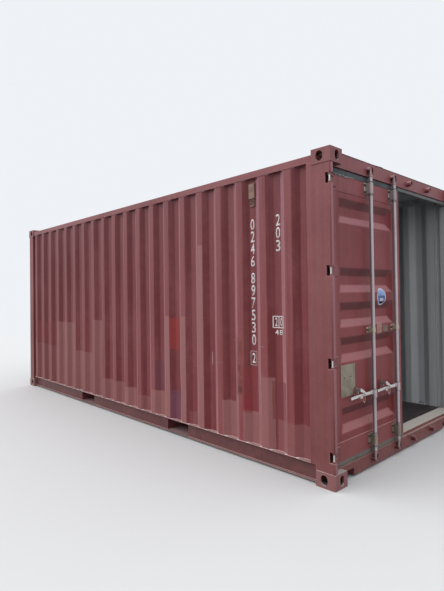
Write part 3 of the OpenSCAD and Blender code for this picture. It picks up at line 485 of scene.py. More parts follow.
def blend(tree, factor, a, b, way="MIX"):
    """Result of a colour Mix node."""
    return put(tree, "ShaderNodeMix", {0: factor, 6: a, 7: b}, data_type="RGBA",
               blend_type=way)[2]


def place(tree, scale=None, shift=(0, 0, 0)):
    """Object coordinates, with a scale for each axis where one is given."""
    where = put(tree, "ShaderNodeTexCoord")["Object"]
    if scale:
        where = put(tree, "ShaderNodeMapping",
                    {"Vector": where, "Scale": scale, "Location": shift})
    return where


def facing(tree):
    """X, Y and Z of the direction that a face looks in."""
    return put(tree, "ShaderNodeNewGeometry")["Normal"].parts()


def new_group(name, inputs, outputs):
    """A shader node group and the field of its inputs. The kind of an input follows from its
    default: a number, a vector of three or a colour of four."""
    tree = bpy.data.node_groups.new(name, "ShaderNodeTree")
    for label, default in inputs.items():
        kind = {1: "Float", 3: "Vector", 4: "Color"}[np.size(default)]
        tree.interface.new_socket(name=label, in_out="INPUT",
                                  socket_type="NodeSocket" + kind).default_value = default
    for label, kind in outputs.items():
        tree.interface.new_socket(name=label, in_out="OUTPUT", socket_type="NodeSocket" + kind)
    GROUPS[name] = tree
    return tree, put(tree, "NodeGroupInput")


def use_group(tree, name, **inputs):
    """A group node with its inputs; an underscore in a keyword stands for a space."""
    inputs = {label.replace("_", " "): value for label, value in inputs.items()}
    return put(tree, "ShaderNodeGroup", inputs, node_tree=GROUPS[name])


def group_ragged():
    """Object coordinates pushed about by noise, for the rims of patches, and a mask of islands
    for the worn ones."""
    tree, given = new_group("ragged_place", {"Amount": 0.01},
                            {"Place": "Vector", "Islands": "Float"})
    where = place(tree)
    push = put(tree, "ShaderNodeTexNoise", {"Vector": where, "Scale": 19.0, "Detail": 4.0})
    push = push["Color"].vector("SUBTRACT", (0.5, 0.5, 0.5))
    push = put(tree, "ShaderNodeVectorMath", {0: push, "Scale": given["Amount"]},
               operation="SCALE")
    put(tree, "NodeGroupOutput", {
        "Place": where.vector("ADD", push),
        "Islands": place(tree, (30, 30, 14)).noise(1.0, 4.0, 0.7).step(0.46, 0.54)})


def group_patch():
    """Mask of one patch: a box in x, y and z with a soft rim."""
    tree, given = new_group("painted_patch", {
        "Place": (0, 0, 0), "Centre": (0, 0, 0), "Half size": (1, 1, 1), "Softness": 0.006,
        "Amount": 1.0, "Islands": 1.0}, {"Mask": "Float"})
    away = given["Place"].vector("SUBTRACT", given["Centre"]).vector("ABSOLUTE")
    x, y, z = given["Half size"].vector("SUBTRACT", away).parts()
    mask = x.least(y).least(z).ramp(0.0, given["Softness"], 0.0, given["Amount"])
    put(tree, "NodeGroupOutput", {"Mask": mask * given["Islands"]})


def group_worn_paint():
    """Old paint: soft fading, upright run-off, rust spots, pale scratches and dust on upward
    faces. Painted light and shade by facing, scaled by an input: faces turned up are painted
    paler, with a pale sheen and dust, and brighter; faces turned down are painted deeper and
    darker, and flat tops a little darker. Height feeds a bump."""
    tree, given = new_group("worn_paint", {
        "Paint": (0.2, 0.1, 0.1, 1), "Faded": (0.3, 0.2, 0.2, 1), "Deep": (0.1, 0.05, 0.05, 1),
        "Rust": (0.1, 0.05, 0.03, 1), "Fading": 0.5, "Streaks": 0.4, "Rusting": 0.3,
        "Scratches": 0.3, "Dust": 0.4, "Relief": 1.0},
        {"Color": "Color", "Roughness": "Float", "Height": "Float", "Rust mask": "Float"})
    where = place(tree)
    clouds, mottle = where.noise(1.4, 3.0, 0.5), where.noise(11.0, 4.0, 0.6)
    fine = where.noise(70.0, 3.0, 0.6)
    upright = place(tree, (24, 24, 0.6)).noise(1.0)
    thin = place(tree, (105, 105, 1.7), (3, 1, 4)).noise(1.0, 3.0, 0.6)
    share = (given["Streaks"] * 2.5).least(1.0)
    bands = put(tree, "ShaderNodeMix", {0: share, 2: clouds, 3: upright})
    fading = clouds * 0.45 + (mottle * 0.2 + bands * 0.35)
    colour = given["Paint"].under(fading.step(0.42, 0.64) * given["Fading"], given["Faded"])
    colour = colour.under(bands.step(0.52, 0.36) * 0.4, given["Deep"])

    runs = upright.step(0.52, 0.72) * clouds.step(0.42, 0.60)
    runs = (runs * 0.7).most(thin.step(0.60, 0.74) * 0.6)
    colour = colour.under((runs * given["Streaks"]).clamped(), given["Rust"])
    pale = thin.step(0.42, 0.30) * given["Streaks"]
    colour = colour.under(pale * 0.35, given["Faded"])

    cells = put(tree, "ShaderNodeTexVoronoi", {"Vector": where, "Scale": 26.0, "Randomness": 1.0})
    spots = (cells["Distance"] + fine * 0.25).step(0.28, 0.19) * mottle.step(0.54, 0.62)
    pits = fine.step(0.66, 0.72) * mottle.step(0.50, 0.60)
    rust = (spots.most(pits) * given["Rusting"]).clamped()
    colour = colour.under(rust, given["Rust"])

    level = place(tree, (2.5, 2.5, 60), (7, 2, 1)).noise(1.0, 2.0, 0.5)
    plumb = place(tree, (130, 130, 3.5), (1, 5, 2)).noise(1.0, 2.0, 0.5)
    lines = level.step(0.73, 0.755).most(plumb.step(0.745, 0.775)) * mottle.step(0.48, 0.58)
    specks = where.noise(130.0, 1.0).step(0.74, 0.77) * clouds.step(0.45, 0.6)
    lines = (lines.most(specks) * given["Scratches"]).clamped()
    colour = colour.under(lines, srgb(184, 146, 144)).dimmed(fine * 0.16 + 0.92)

    # Painted light and shade by facing: faces turned up take the faded paint, a painted sheen with
    # dust and more brightness; faces turned down take the deep paint and less brightness; flat
    # tops lose a little brightness
    upward = facing(tree)[2]
    rising, falling = (0.22, 0.48), (-0.22, -0.45)
    colour = colour.under(upward.step(*rising, 0.0, 0.65), given["Faded"])
    colour = colour.under(upward.step(*falling, 0.0, 0.65), given["Deep"])
    dust_and_sheen = upward.step(*rising, 0.0, 0.5) * given["Relief"]
    colour = colour.under(dust_and_sheen, srgb(148, 132, 134))
    gain = upward.step(*rising, 0.0, 0.4) + (upward.step(*falling, 0.0, -0.28)
                                             + upward.step(0.6, 0.97, 0.0, -0.25))
    colour = colour.dimmed(gain * given["Relief"] + 1.0)
    dust = (upward.step(0.6, 0.97) * (mottle.step(0.22, 0.58) * given["Dust"])).clamped()
    gloss = (mottle * 0.20 + 0.38 + rust.most(dust) * 0.35).clamped()
    put(tree, "NodeGroupOutput", {
        "Color": colour.under(dust, srgb(176, 148, 145)), "Roughness": gloss,
        "Height": fine * 0.3 + rust * 0.5 - lines * 0.4, "Rust mask": rust})


def group_lining():
    """Mask of the faces that line the inside: the greatest of boxes in x, |y| and z, and the
    rails' faces inside the side walls' ridges."""
    tree, given = new_group("inside_mask", {"Front limit": 2.946, "Beyond": 99.0},
                            {"Mask": "Float"})
    x, y, z = place(tree).parts()
    y = abs(y)

    def box(x0, x1, y0, y1, z0, z1):
        """1 inside the limits."""
        mask = (x > x0) * (x < x1)
        for value, low, high in ((y, y0, y1), (z, z0, z1)):
            mask = mask * (value > low) * (value < high)
        return mask
    # The inside itself, the rear posts, two faces of the front posts, and both leaves' frames
    mask = box(-2.974, given["Front limit"], -1, 1.1702, 0.150, 2.554)
    for limits in ((2.803, 2.95, -1, 1.2125, 0.163, 2.471),
                   (-3.0215, -2.984, 1.102, 1.2125, 0.163, 2.471),
                   (-2.984, -2.882, -1, 1.2125, 0.163, 2.471),
                   (2.906, 2.9548, 0.1268, 1.0438, 0.3082, 2.2848),
                   (3.0632, 3.112, 1.3542, 2.2708, 0.3082, 2.2848)):
        mask = mask.most(box(*limits))
    ridge = abs(((x - RIDGES[0]) / RIDGE_PITCH).fraction() - 0.5) > 0.25
    mask = mask.most(ridge * box(-2.85, 2.79, 1.165, 1.209, 0.158, 2.50))
    put(tree, "NodeGroupOutput", {"Mask": mask.most(x > given["Beyond"])})


def new_material(name, colour):
    """A material with only a Principled shader: its tree and its shader."""
    material = bpy.data.materials.new(name)
    material.use_nodes = True
    material.diffuse_color = (*tuple(colour)[:3], 1.0)
    MATERIALS[name] = material
    return material.node_tree, material.node_tree.nodes["Principled BSDF"]


def dress(tree, shader, colour, rough, height, strength=0.25, distance=0.0012):
    """Gives the shader a colour, a roughness and a bump."""
    bump = put(tree, "ShaderNodeBump", {"Height": height, "Strength": strength,
                                        "Distance": distance})
    feed(tree, shader, {"Base Color": colour, "Roughness": rough, "Normal": bump})


def grey_paint(tree, faded, deep, streaks):
    """The worn grey paint of the inside, with the gains of its lighter and darker tones."""
    lining = bpy.context.scene.container_colours.lining
    return use_group(tree, "worn_paint", Paint=lining, Faded=[c * faded for c in lining],
                     Deep=[c * deep for c in lining], Rust=srgb(92, 80, 74), Fading=0.5,
                     Streaks=streaks, Rusting=0.2, Scratches=0.5, Dust=0.3, Relief=0.1)


def paint_material(name, fading, streaks, rusting, scratches, dust, tint=1.0, lining=None,
                   patches=(), valleys=None, gains=None, wash=None, cavity_shade=False):
    """Worn red-brown paint. valleys are the limits of |y| between which the deep paint turns into
    the plain one; with them, the slopes that face the doors get painted shade and the slopes that
    face the front a painted highlight. gains are the painted light's gain at both ends, wash the
    tints at the bottom and at the top, patches the marks on it, lining the door end of the grey
    inside, and cavity_shade paints shade into the hollow of the corner castings."""
    colours = bpy.context.scene.container_colours
    tree, shader = new_material(name, colours.paint)
    paint = [c * tint for c in colours.paint]
    x, y, z = place(tree).parts()
    if valleys:
        paint = blend(tree, abs(y).step(*valleys).most(x < -3.0), VALLEY_TONE, paint)
        # Painted light on the slopes by the way they face: painted shade on those that face the
        # doors, a painted highlight on those that face the front
        slope = facing(tree)[0]
        paint = paint.under(slope.step(0.22, 0.42, 0.0, 0.9), SHADED_SLOPE)
        paint = paint.under(slope.step(-0.22, -0.42, 0.0, 0.85) * (x > -2.9), HIGHLIT_SLOPE)
    worn = use_group(tree, "worn_paint", Paint=paint, Faded=[c * tint for c in colours.faded],
                     Deep=[c * tint for c in colours.fresh], Rust=colours.rust, Fading=fading,
                     Streaks=streaks, Rusting=rusting, Scratches=scratches, Dust=dust)
    colour = worn["Color"]
    if wash:
        colour = colour.dimmed(blend(tree, z.ramp(0.2, 2.4), *wash))
    if gains:
        colour = colour.dimmed(x.ramp(-2.9, 2.9, *gains))
    if lining:
        mask = use_group(tree, "inside_mask", Front_limit=lining[0], Beyond=lining[1])
        colour = colour.under(mask, grey_paint(tree, 1.15, 0.8, 0.35)["Color"])
    # Painted shade in the hollow of the corner castings
    if cavity_shade:
        folded = put(tree, "ShaderNodeCombineXYZ",
                     {0: abs(x), 1: abs(y), 2: abs(z - HEIGHT / 2)})
        mask = use_group(tree, "painted_patch", Place=folded, Centre=(2.9385, 1.1355, 1.236),
                         Half_size=(0.0770, 0.0700, 0.0530), Softness=0.003, Amount=0.75)
        colour = colour.under(mask, srgb(38, 24, 28))
    rims = {}
    for x0, x1, y0, y1, z0, z1, tone, amount, ragged in patches:
        if ragged not in rims:
            rims[ragged] = use_group(tree, "ragged_place", Amount=ragged)
        mask = use_group(tree, "painted_patch", Place=rims[ragged]["Place"],
                         Islands=rims[ragged]["Islands"] if ragged > 0.05 else 1.0,
                         Centre=((x0 + x1) / 2, (y0 + y1) / 2, (z0 + z1) / 2),
                         Half_size=((x1 - x0) / 2, (y1 - y0) / 2, (z1 - z0) / 2),
                         Softness=0.003 + ragged * 0.12, Amount=amount)
        colour = colour.under(mask, tone)
    if patches:
        colour = colour.dimmed(place(tree).noise(34.0, 4.0) * 0.24 + 0.88)
    dress(tree, shader, colour, worn["Roughness"], worn["Height"])
    feed(tree, shader, {"Specular IOR Level": 0.3})


def metal_material(name, colour, paint_amount, rust_amount, metallic=0.55, rough=0.42,
                   side_shade=None, heights=None, foot=None, bands=()):
    """Dull zinc with spangle, brown stains and smears of red paint.

    side_shade is an axis and a tone: painted shade, which darkens the faces that look away from
    the axis, as if the light fell along it. heights are the tones of the low and the high pieces,
    beside that of the ones between them. Parts further than foot from the hinge pins' plane are
    painted red. bands are dirty rings: middle and half height, tone and amount."""
    colours = bpy.context.scene.container_colours
    tree, shader = new_material(name, colour)
    lighter, darker = [min(1, c * 1.25) for c in colour], [c * 0.78 for c in colour]
    x, _, z = place(tree).parts()
    if heights:
        colour = blend(tree, z.step(0.6, 0.9), heights[0], colour)
        colour = colour.under(z.step(1.4, 1.9), heights[1])
    worn = use_group(tree, "worn_paint", Paint=colour, Faded=lighter, Deep=darker,
                     Rust=colours.rust, Fading=0.5, Streaks=0.18, Rusting=rust_amount,
                     Scratches=0.4, Dust=0.3)
    smears = place(tree, (30, 30, 6)).noise(1.0, 4.0, 0.65).step(0.54, 0.66) * paint_amount
    if foot:
        smears = smears.most(abs(x - PIN_X).step(foot, foot + 0.001, 0.0, 0.95))
    mixed = worn["Color"].under(smears, colours.paint if foot else colours.faded)
    cells = put(tree, "ShaderNodeTexVoronoi", {"Vector": place(tree), "Scale": 120.0})
    mixed = mixed.dimmed(cells["Color"].parts()[0] * 0.10 + 0.95)
    # Painted shade: faces that look away from the axis are darkened by the tone
    if side_shade:
        away = abs(facing(tree)[side_shade[0]]).step(0.62, 0.32)
        mixed = mixed.under(away, mixed.dimmed(side_shade[1]))
    for middle, half, tone, amount in bands:
        ring = abs(z - middle).step(half + 0.001, half - 0.001, 0.0, amount)
        mixed = mixed.under(ring, tone)
    bare = 1.0 - smears.most(worn["Rust mask"])
    feed(tree, shader, {"Metallic": bare * metallic})
    dress(tree, shader, mixed, worn["Roughness"] * 0.5 + (rough - 0.22), worn["Height"], 0.2,
          0.0006)


def plain_material(name, colour, deep, rough, scale, bump, stretch=(1, 1, 1), specks=None,
                   low=None):
    """A mottled surface in two tones with a fine grain, such as rubber, wood or a sticker.

    specks are a tone, the noise's scale, its limit and the amount. Below the height low[0] the
    tone low[1] lies on it as dust."""
    tree, shader = new_material(name, colour)
    base = place(tree, stretch).noise(scale, 5.0, 0.62)
    grain = place(tree, stretch).noise(scale * 9, 3.0, 0.6)
    mixed = blend(tree, base.step(0.36, 0.64), deep, colour).dimmed(grain * 0.3 + 0.85)
    if low:
        dusty = place(tree).noise(5.0, 3.0).step(0.36, 0.50, 0.15, 0.85)
        mixed = mixed.under((place(tree).parts()[2] < low[0]) * dusty, low[1])
    if specks:
        tone, size, limit, amount = specks
        worn = place(tree).noise(size, 4.0, 0.7).step(limit, limit + 0.06)
        mixed = mixed.under(worn * amount, tone)
    dress(tree, shader, mixed, (base * 0.2 + (rough - 0.1)).clamped(), grain, 0.3, bump)


# Side walls, front wall, roof and door panels

WALL_DENTS = ((1.90, 0.62, 0.09, 0.004), (1.05, 0.48, 0.12, 0.005), (-0.6, 1.1, 0.16, 0.004),
              (0.35, 1.9, 0.14, -0.003), (2.34, 1.35, 0.10, 0.003), (-1.7, 0.7, 0.15, 0.005))
ROOF_DENTS = ((1.2, 0.3, 0.35, -0.006), (-1.5, -0.4, 0.4, -0.007))


def wall_depth(x, z, seed=3):
    """Inset of the side wall's outer skin: 8 mm on a ridge, 44 mm in a valley, and unevenness."""
    base = RIDGE_INSET + RIDGE_DEPTH * (1 - rise(x, RIDGES, RIDGE_FLAT, RIDGE_SLOPE))
    return base + unevenness(x, z, *WALL_Z, seed, WALL_DENTS)


def front_depth(y):
    """Inset of the front wall's outer skin: 12 mm on a ridge, 57 mm in a valley."""
    return FRONT_INSET + FRONT_DEPTH * (1 - rise(y, FRONT_RIDGES, FRONT_FLAT, FRONT_SLOPE))


def panel_depth(b, z):
    """Depth behind the door plane: 72 mm on the flat, 104 mm in a pan. A pan is the lesser of
    its upright and its sideways rise, so that its four slopes meet in mitres."""
    away = np.abs(np.asarray(z, float)[..., None] - PAN_MIDDLES).min(-1)
    up = (PAN_HEIGHT / 2 - away) / PAN_SLOPE
    over = np.minimum(b - PAN_B[0], PAN_B[1] - b) / PAN_SLOPE
    k = bpy.context.scene.container_sizes.rounding
    return PANEL_A + PAN_DEPTH * rounded(np.minimum(up, over), k)


def door_depth(side, b, z):
    """Depth of the door sheet's outer skin, with its unevenness, which fades towards the rim."""
    wave = unevenness(b * 2, z, *PANEL_Z, 41 if side == "left" else 47)
    return panel_depth(b, z) + wave * np.clip(
        np.minimum(b - PANEL_B[0], PANEL_B[1] - b) / 0.06, 0, 1)


def bend_places(ridges, flat, slope):
    """Where ridges bend: half a flat from their middles, and a slope further out."""
    return np.concatenate([ridges + s * w for s in (-1, 1) for w in (flat / 2, flat / 2 + slope)])


def wall_grid(across, at_casting):
    """Grid over a wall: places across it, and heights from the bottom rail to the top rail, or
    to the casting's underside beside a casting."""
    v = np.linspace(0, 1, bpy.context.scene.container_sizes.rows + 1)
    top = np.where(at_casting, HEIGHT - CASTING_H, WALL_Z[1])
    z = WALL_Z[0] + v[None, :] * (top - WALL_Z[0])[:, None]
    return np.broadcast_to(across[:, None], z.shape), z


# Tones of the side walls: the deep paint of the valleys, painted shade on the slopes that face the
# doors, a painted highlight on the slopes that face the front, and the tones of repainted bands
VALLEY_TONE, SHADED_SLOPE, HIGHLIT_SLOPE = srgb(122, 53, 57), srgb(104, 38, 43), srgb(180, 140, 148)
REPAINT, REPAINT_LOW = srgb(149, 99, 97), srgb(138, 86, 84)
# Repainted bands from the wall's foot up: x limits, top, tone, amount, raggedness
BANDS = [
    (1.439, 1.513, 1.970, REPAINT, 0.85, 0.006), (0.875, 0.949, 1.255, REPAINT, 0.85, 0.006),
    (1.157, 1.231, 1.258, REPAINT, 0.85, 0.006), (2.285, 2.420, 0.770, REPAINT, 0.75, 0.018),
    (2.440, 2.800, 0.430, REPAINT_LOW, 0.7, 0.030), (1.780, 1.990, 0.500, REPAINT, 0.75, 0.030),
    (2.060, 2.300, 0.448, REPAINT, 0.75, 0.026), (-1.945, -1.330, 1.105, REPAINT_LOW, 0.8, 0.010),
    (-0.790, -0.570, 1.160, REPAINT_LOW, 0.8, 0.008),
    (-1.310, -0.800, 0.715, REPAINT_LOW, 0.8, 0.012),
    (-0.570, -0.040, 0.420, REPAINT_LOW, 0.8, 0.014), (-0.040, 0.230, 0.385, REPAINT, 0.75, 0.014),
    (0.580, 0.860, 0.430, REPAINT, 0.75, 0.014), (-2.780, -1.960, 0.740, REPAINT_LOW, 0.35, 0.035),
    (0.270, 0.560, 0.330, REPAINT_LOW, 0.6, 0.040), (1.260, 1.430, 0.300, REPAINT_LOW, 0.5, 0.040),
]
# Other marks on the side walls: x and z limits, tone, amount, raggedness
WALL_MARKS = [
    (-2.840, -2.000, 0.760, 1.095, (122, 48, 50), 0.48, 0.012),
    (-1.310, -0.800, 0.715, 1.130, (120, 52, 54), 0.35, 0.012),
    (0.950, 1.100, 0.900, 1.236, (140, 46, 44), 0.85, 0.008),
    (2.050, 2.200, 0.440, 0.830, (124, 44, 48), 0.7, 0.016),
    (2.060, 2.140, 0.420, 0.560, (134, 40, 52), 0.5, 0.016),
    (2.390, 2.560, 0.420, 0.745, (112, 48, 52), 0.6, 0.014),
    (0.950, 1.110, 0.170, 0.470, (104, 64, 84), 0.6, 0.012),
    (0.665, 0.790, 0.430, 0.760, (88, 48, 66), 0.45, 0.014),
    (1.965, 2.062, 0.560, 1.090, (128, 66, 58), 0.5, 0.045),
    (1.975, 2.060, 0.560, 1.060, (104, 48, 42), 0.6, 0.060),
    (1.985, 2.050, 0.585, 0.650, (84, 34, 28), 0.8, 0.050),
    (1.985, 2.040, 0.770, 0.850, (96, 42, 36), 0.6, 0.050),
    (1.606, 1.616, 0.800, 0.925, (205, 180, 182), 0.8, 0.008),
    (1.180, 1.970, 1.247, 1.2505, (168, 128, 128), 0.5, 0.010),
    (2.250, 2.330, 1.020, 1.028, (184, 150, 150), 0.7, 0.014),
    (2.255, 2.268, 0.700, 0.790, (184, 150, 152), 0.6, 0.012),
    (1.330, 1.420, 0.760, 0.766, (170, 130, 130), 0.6, 0.016),
    (2.800, 2.860, 1.900, 1.960, (170, 140, 134), 0.4, 0.040),
]
# Marks on the frame and on the doors, among them a painted highlight and painted shade: limits in
# the row frame
FRAME_MARKS = [
    (2.815, 2.950, -1.18, 1.18, 0.1465, 0.1670, (188, 180, 168), 0.85, 0.020),
    (2.840, 2.960, -1.18, 1.18, 2.4300, 2.4600, (88, 84, 82), 0.6, 0.012),
    (2.944, 2.980, -0.02, 1.10, 0.1215, 0.1260, (200, 176, 160), 0.5, 0.010),
    # Painted highlight along the rear posts' front corners
    (3.020, 3.032, -1.2110, -1.176, 0.12, 2.47, (172, 126, 134), 0.5, 0.004),
    (3.020, 3.032, 1.176, 1.2110, 0.12, 2.47, (172, 126, 134), 0.5, 0.004),
    # Painted shade in the rear posts' hinge notches
    (2.970, 2.980, -1.2095, -1.1785, 0.118, 2.473, (20, 10, 14), 0.9, 0.0),
    (2.970, 2.980, 1.1785, 1.2095, 0.118, 2.473, (20, 10, 14), 0.9, 0.0),
    # Painted shade on the bottom side rails' recessed webs, under their top flange
    (-2.85, 2.85, -1.173, -1.160, 0.0200, 0.1590, (82, 55, 57), 0.6, 0.012),
    (-2.85, 2.85, 1.160, 1.173, 0.0200, 0.1590, (82, 55, 57), 0.6, 0.012),
    (-2.85, 2.85, -1.173, -1.160, 0.0300, 0.1400, (112, 82, 78), 0.5, 0.080),
    (-2.85, 2.85, -1.225, -1.16, 0.0100, 0.0300, (96, 66, 58), 0.5, 0.020),
    (-2.85, 2.85, 1.16, 1.225, 0.0100, 0.0300, (96, 66, 58), 0.5, 0.020),
]
DOOR_MARKS = [
    (2.90, 2.97, -1.044, -0.127, 2.2810, 2.2880, (60, 38, 42), 0.65, 0.003),
    (2.90, 2.97, -1.044, -0.127, 0.3045, 0.3115, (186, 158, 154), 0.65, 0.005),
    (2.90, 2.97, -1.00, -0.20, 0.318, 0.322, (182, 150, 148), 0.5, 0.014),
    (2.90, 2.97, -0.396, -0.246, 0.2470, 0.2515, (190, 150, 146), 0.6, 0.010),
]
# Dirty rings of the lock bars: heights, half height, tone and amount
RINGS = [((0.1845, 0.2955, 2.3065, 2.4175), 0.0045, (88, 76, 74), 0.8),
         ((0.144, 2.459), 0.003, (70, 60, 58), 0.7), ((0.086, 2.514), 0.060, (132, 96, 94), 0.55),
         ((0.590, 0.666), 0.0035, (84, 74, 72), 0.7)]
# Plain finishes: two tones, roughness, scale and depth of the grain
PLAIN_FINISHES = {
    "torn_rubber": ((150, 150, 150), (96, 98, 100), 0.8, 30.0, 0.0008),
    "dark_strip": ((58, 44, 48), (40, 32, 36), 0.7, 20.0, 0.0008),
    "vent_plastic": ((142, 112, 96), (112, 84, 74), 0.7, 12.0, 0.0006),
    "beige_patch": ((172, 130, 116), (150, 108, 98), 0.6, 30.0, 0.0004),
    "green_patch": ((128, 112, 102), (116, 90, 84), 0.6, 26.0, 0.0004),
    "sticker_white": ((208, 204, 222), (176, 172, 192), 0.4, 14.0, 0.0002),
    "sticker_sky": ((148, 180, 220), (116, 146, 196), 0.4, 14.0, 0.0002),
    "sticker_blue": ((74, 104, 168), (44, 66, 120), 0.4, 30.0, 0.0002),
    "dark_hole": ((34, 30, 30), (24, 22, 22), 0.9, 20.0, 0.0002),
}


def toned(marks):
    """Marks with their tones as linear colours."""
    return [(*limits, srgb(*tone), amount, ragged) for *limits, tone, amount, ragged in marks]


class CONTAINER_OT_finishes(bpy.types.Operator):
    """Make the node groups and the materials"""
    bl_idname = "container.finishes"
    bl_label = "Finishes"

    def execute(self, context):
        colours = context.scene.container_colours
        for make in (group_ragged, group_patch, group_worn_paint, group_lining):
            make()
        marks = [(x0, x1, 0.10, top, *rest) for x0, x1, top, *rest in BANDS] + toned(WALL_MARKS)
        marks = [(x0, x1, -1.3, 1.3, *rest) for x0, x1, *rest in marks]
        door_marks = toned(DOOR_MARKS)
        leaf_wash = ((0.96, 0.86, 0.85), (0.98, 0.88, 0.92))
        paint_material("wall_paint", 0.4, 0.38, 0.25, 0.5, 0.4, valleys=(1.181, 1.208),
                       patches=marks, gains=(0.92, 1.0),
                       wash=((0.96, 0.81, 0.80), (0.84, 0.70, 0.745)))
        paint_material("frame_paint", 0.4, 0.14, 0.35, 0.45, 0.5, lining=(2.946, 99),
                       patches=toned(FRAME_MARKS), wash=((0.76, 0.83, 0.77), (0.93, 0.96, 0.98)))
        paint_material("leaf_paint", 0.25, 0.12, 0.3, 0.3, 0.4, lining=(2.912, 99),
                       patches=door_marks, wash=leaf_wash)
        paint_material("open_leaf_paint", 0.25, 0.12, 0.3, 0.3, 0.4, lining=(-3, 3.106),
                       wash=leaf_wash)
        paint_material("door_paint", 0.25, 0.12, 0.2, 0.25, 0.4, patches=door_marks,
                       wash=((0.88, 0.59, 0.57), (0.90, 0.66, 0.70)))
        paint_material("casting_paint", 0.4, 0.2, 0.8, 0.7, 0.6, tint=1.05,
                       wash=((0.94, 1.34, 1.26), (0.88, 1.04, 1.04)), cavity_shade=True)
        # Paler paint of the bevelled edges: edge wear, and a painted highlight on the edges
        paint_material("worn_edge_and_highlight", 1.6, 0.3, 0.7, 0.8, 0.9, tint=1.42, lining=(2.93, 3.106),
                       wash=((0.92, 1.03, 1.03), (0.94, 1.03, 1.06)))
        paint_material("roof_paint", 0.7, 0.2, 1.0, 0.4, 0.45, tint=0.8,
                       wash=((0.82, 0.90, 0.86), (0.82, 0.90, 0.86)))
        paint_material("underframe_paint", 0.3, 0.4, 0.8, 0.3, 0.5, tint=0.7)
        tree, shader = new_material("lining_paint", colours.lining)
        worn = grey_paint(tree, 1.1, 0.82, 0.3)
        dress(tree, shader, worn["Color"], worn["Roughness"], worn["Height"])
        feed(tree, shader, {"Specular IOR Level": 0.3})

        rings = [(z, half, srgb(*tone), amount) for heights, half, tone, amount in RINGS
                 for z in heights]
        metal_material("zinc", colours.zinc, 0.2, 0.3, 0.3, 0.44, side_shade=(0, (0.44, 0.43, 0.43)),
                       bands=rings)
        metal_material("bright_zinc", srgb(216, 210, 206), 0.08, 0.25, 0.35,
                       side_shade=(0, (0.38, 0.35, 0.34)))
        metal_material("retainer_zinc", srgb(206, 198, 194), 0.08, 0.4, 0.3, foot=0.0435,
                       side_shade=(0, (0.50, 0.46, 0.45)))
        metal_material("guide_zinc", srgb(196, 184, 166), 0.2, 0.5, 0.2, 0.5,
                       heights=(srgb(124, 114, 106), srgb(162, 153, 160)),
                       side_shade=(0, (0.62, 0.60, 0.58)))
        metal_material("rusty_bolt", srgb(84, 66, 60), 0.3, 0.9, 0.3, 0.55)
        metal_material("pin_steel", srgb(206, 200, 196), 0.05, 0.25, 0.4, 0.4,
                       side_shade=(1, (0.30, 0.18, 0.18)))

        plain_material("gasket_rubber", colours.rubber, srgb(56, 60, 62), 0.75, 9.0, 0.0008,
                       specks=(srgb(122, 120, 116), 27.0, 0.56, 0.3),
                       low=(0.3, srgb(118, 106, 98)))
        plain_material("floor_timber", srgb(66, 56, 56), srgb(44, 37, 40), 0.7, 2.2, 0.0015,
                       stretch=(1.2, 9, 1), specks=(srgb(104, 96, 92), 30.0, 0.6, 0.5))
        plain_material("marking_paint", colours.marking, srgb(212, 202, 204), 0.6, 9.0, 0.0003,
                       specks=(colours.paint, 60.0, 0.64, 0.7))
        plain_material("khaki_plate", srgb(148, 139, 124), srgb(128, 118, 104), 0.55, 16.0, 0.0006,
                       specks=(srgb(172, 156, 144), 40.0, 0.58, 0.5))
        for name, (colour, deep, *numbers) in PLAIN_FINISHES.items():
            plain_material(name, srgb(*colour), srgb(*deep), *numbers)
        return {"FINISHED"}


class CONTAINER_OT_side_walls(bpy.types.Operator):
    """Press the corrugated side walls with rounded bends, slight buckles and dents"""
    bl_idname = "container.side_walls"
    bl_label = "Side walls"

    def execute(self, context):
        sizes = context.scene.container_sizes
        bends = bend_places(RIDGES, RIDGE_FLAT, RIDGE_SLOPE)
        x = knots(*WALL_X, bends, RIDGE_SLOPE * sizes.rounding, 0.045)
        x = stepped(x, [-CASTING_X])
        x, z = wall_grid(x, x < -CASTING_X)
        for side, sign, seed in (("left", -1, 3), ("right", 1, 8)):
            depth = wall_depth(x, z, seed)
            outer, inner = (np.stack([x, sign * (HALF_W - depth - deeper), z], -1)
                            for deeper in (0, sizes.sheet))
            pressed(f"side_sheet_{side}", outer, inner, "wall_paint", "container",
                    f"side_wall_{side}")
        return {"FINISHED"}


class CONTAINER_OT_front_wall(bpy.types.Operator):
    """Press the corrugated wall at the closed end"""
    bl_idname = "container.front_wall"
    bl_label = "Front wall"

    def execute(self, context):
        bends = bend_places(FRONT_RIDGES, FRONT_FLAT, FRONT_SLOPE)
        y = knots(*FRONT_Y, bends, FRONT_SLOPE * 0.2, 0.045)
        y = stepped(y, [-CASTING_Y, CASTING_Y])
        y, z = wall_grid(y, np.abs(y) > CASTING_Y)
        depth = front_depth(y) + unevenness(y, z, *WALL_Z, 21)
        outer, inner = (np.stack([depth + deeper - HALF_L, y, z], -1)
                        for deeper in (0, context.scene.container_sizes.sheet))
        pressed("front_sheet", outer, inner, "wall_paint", "container", "front_wall")
        return {"FINISHED"}


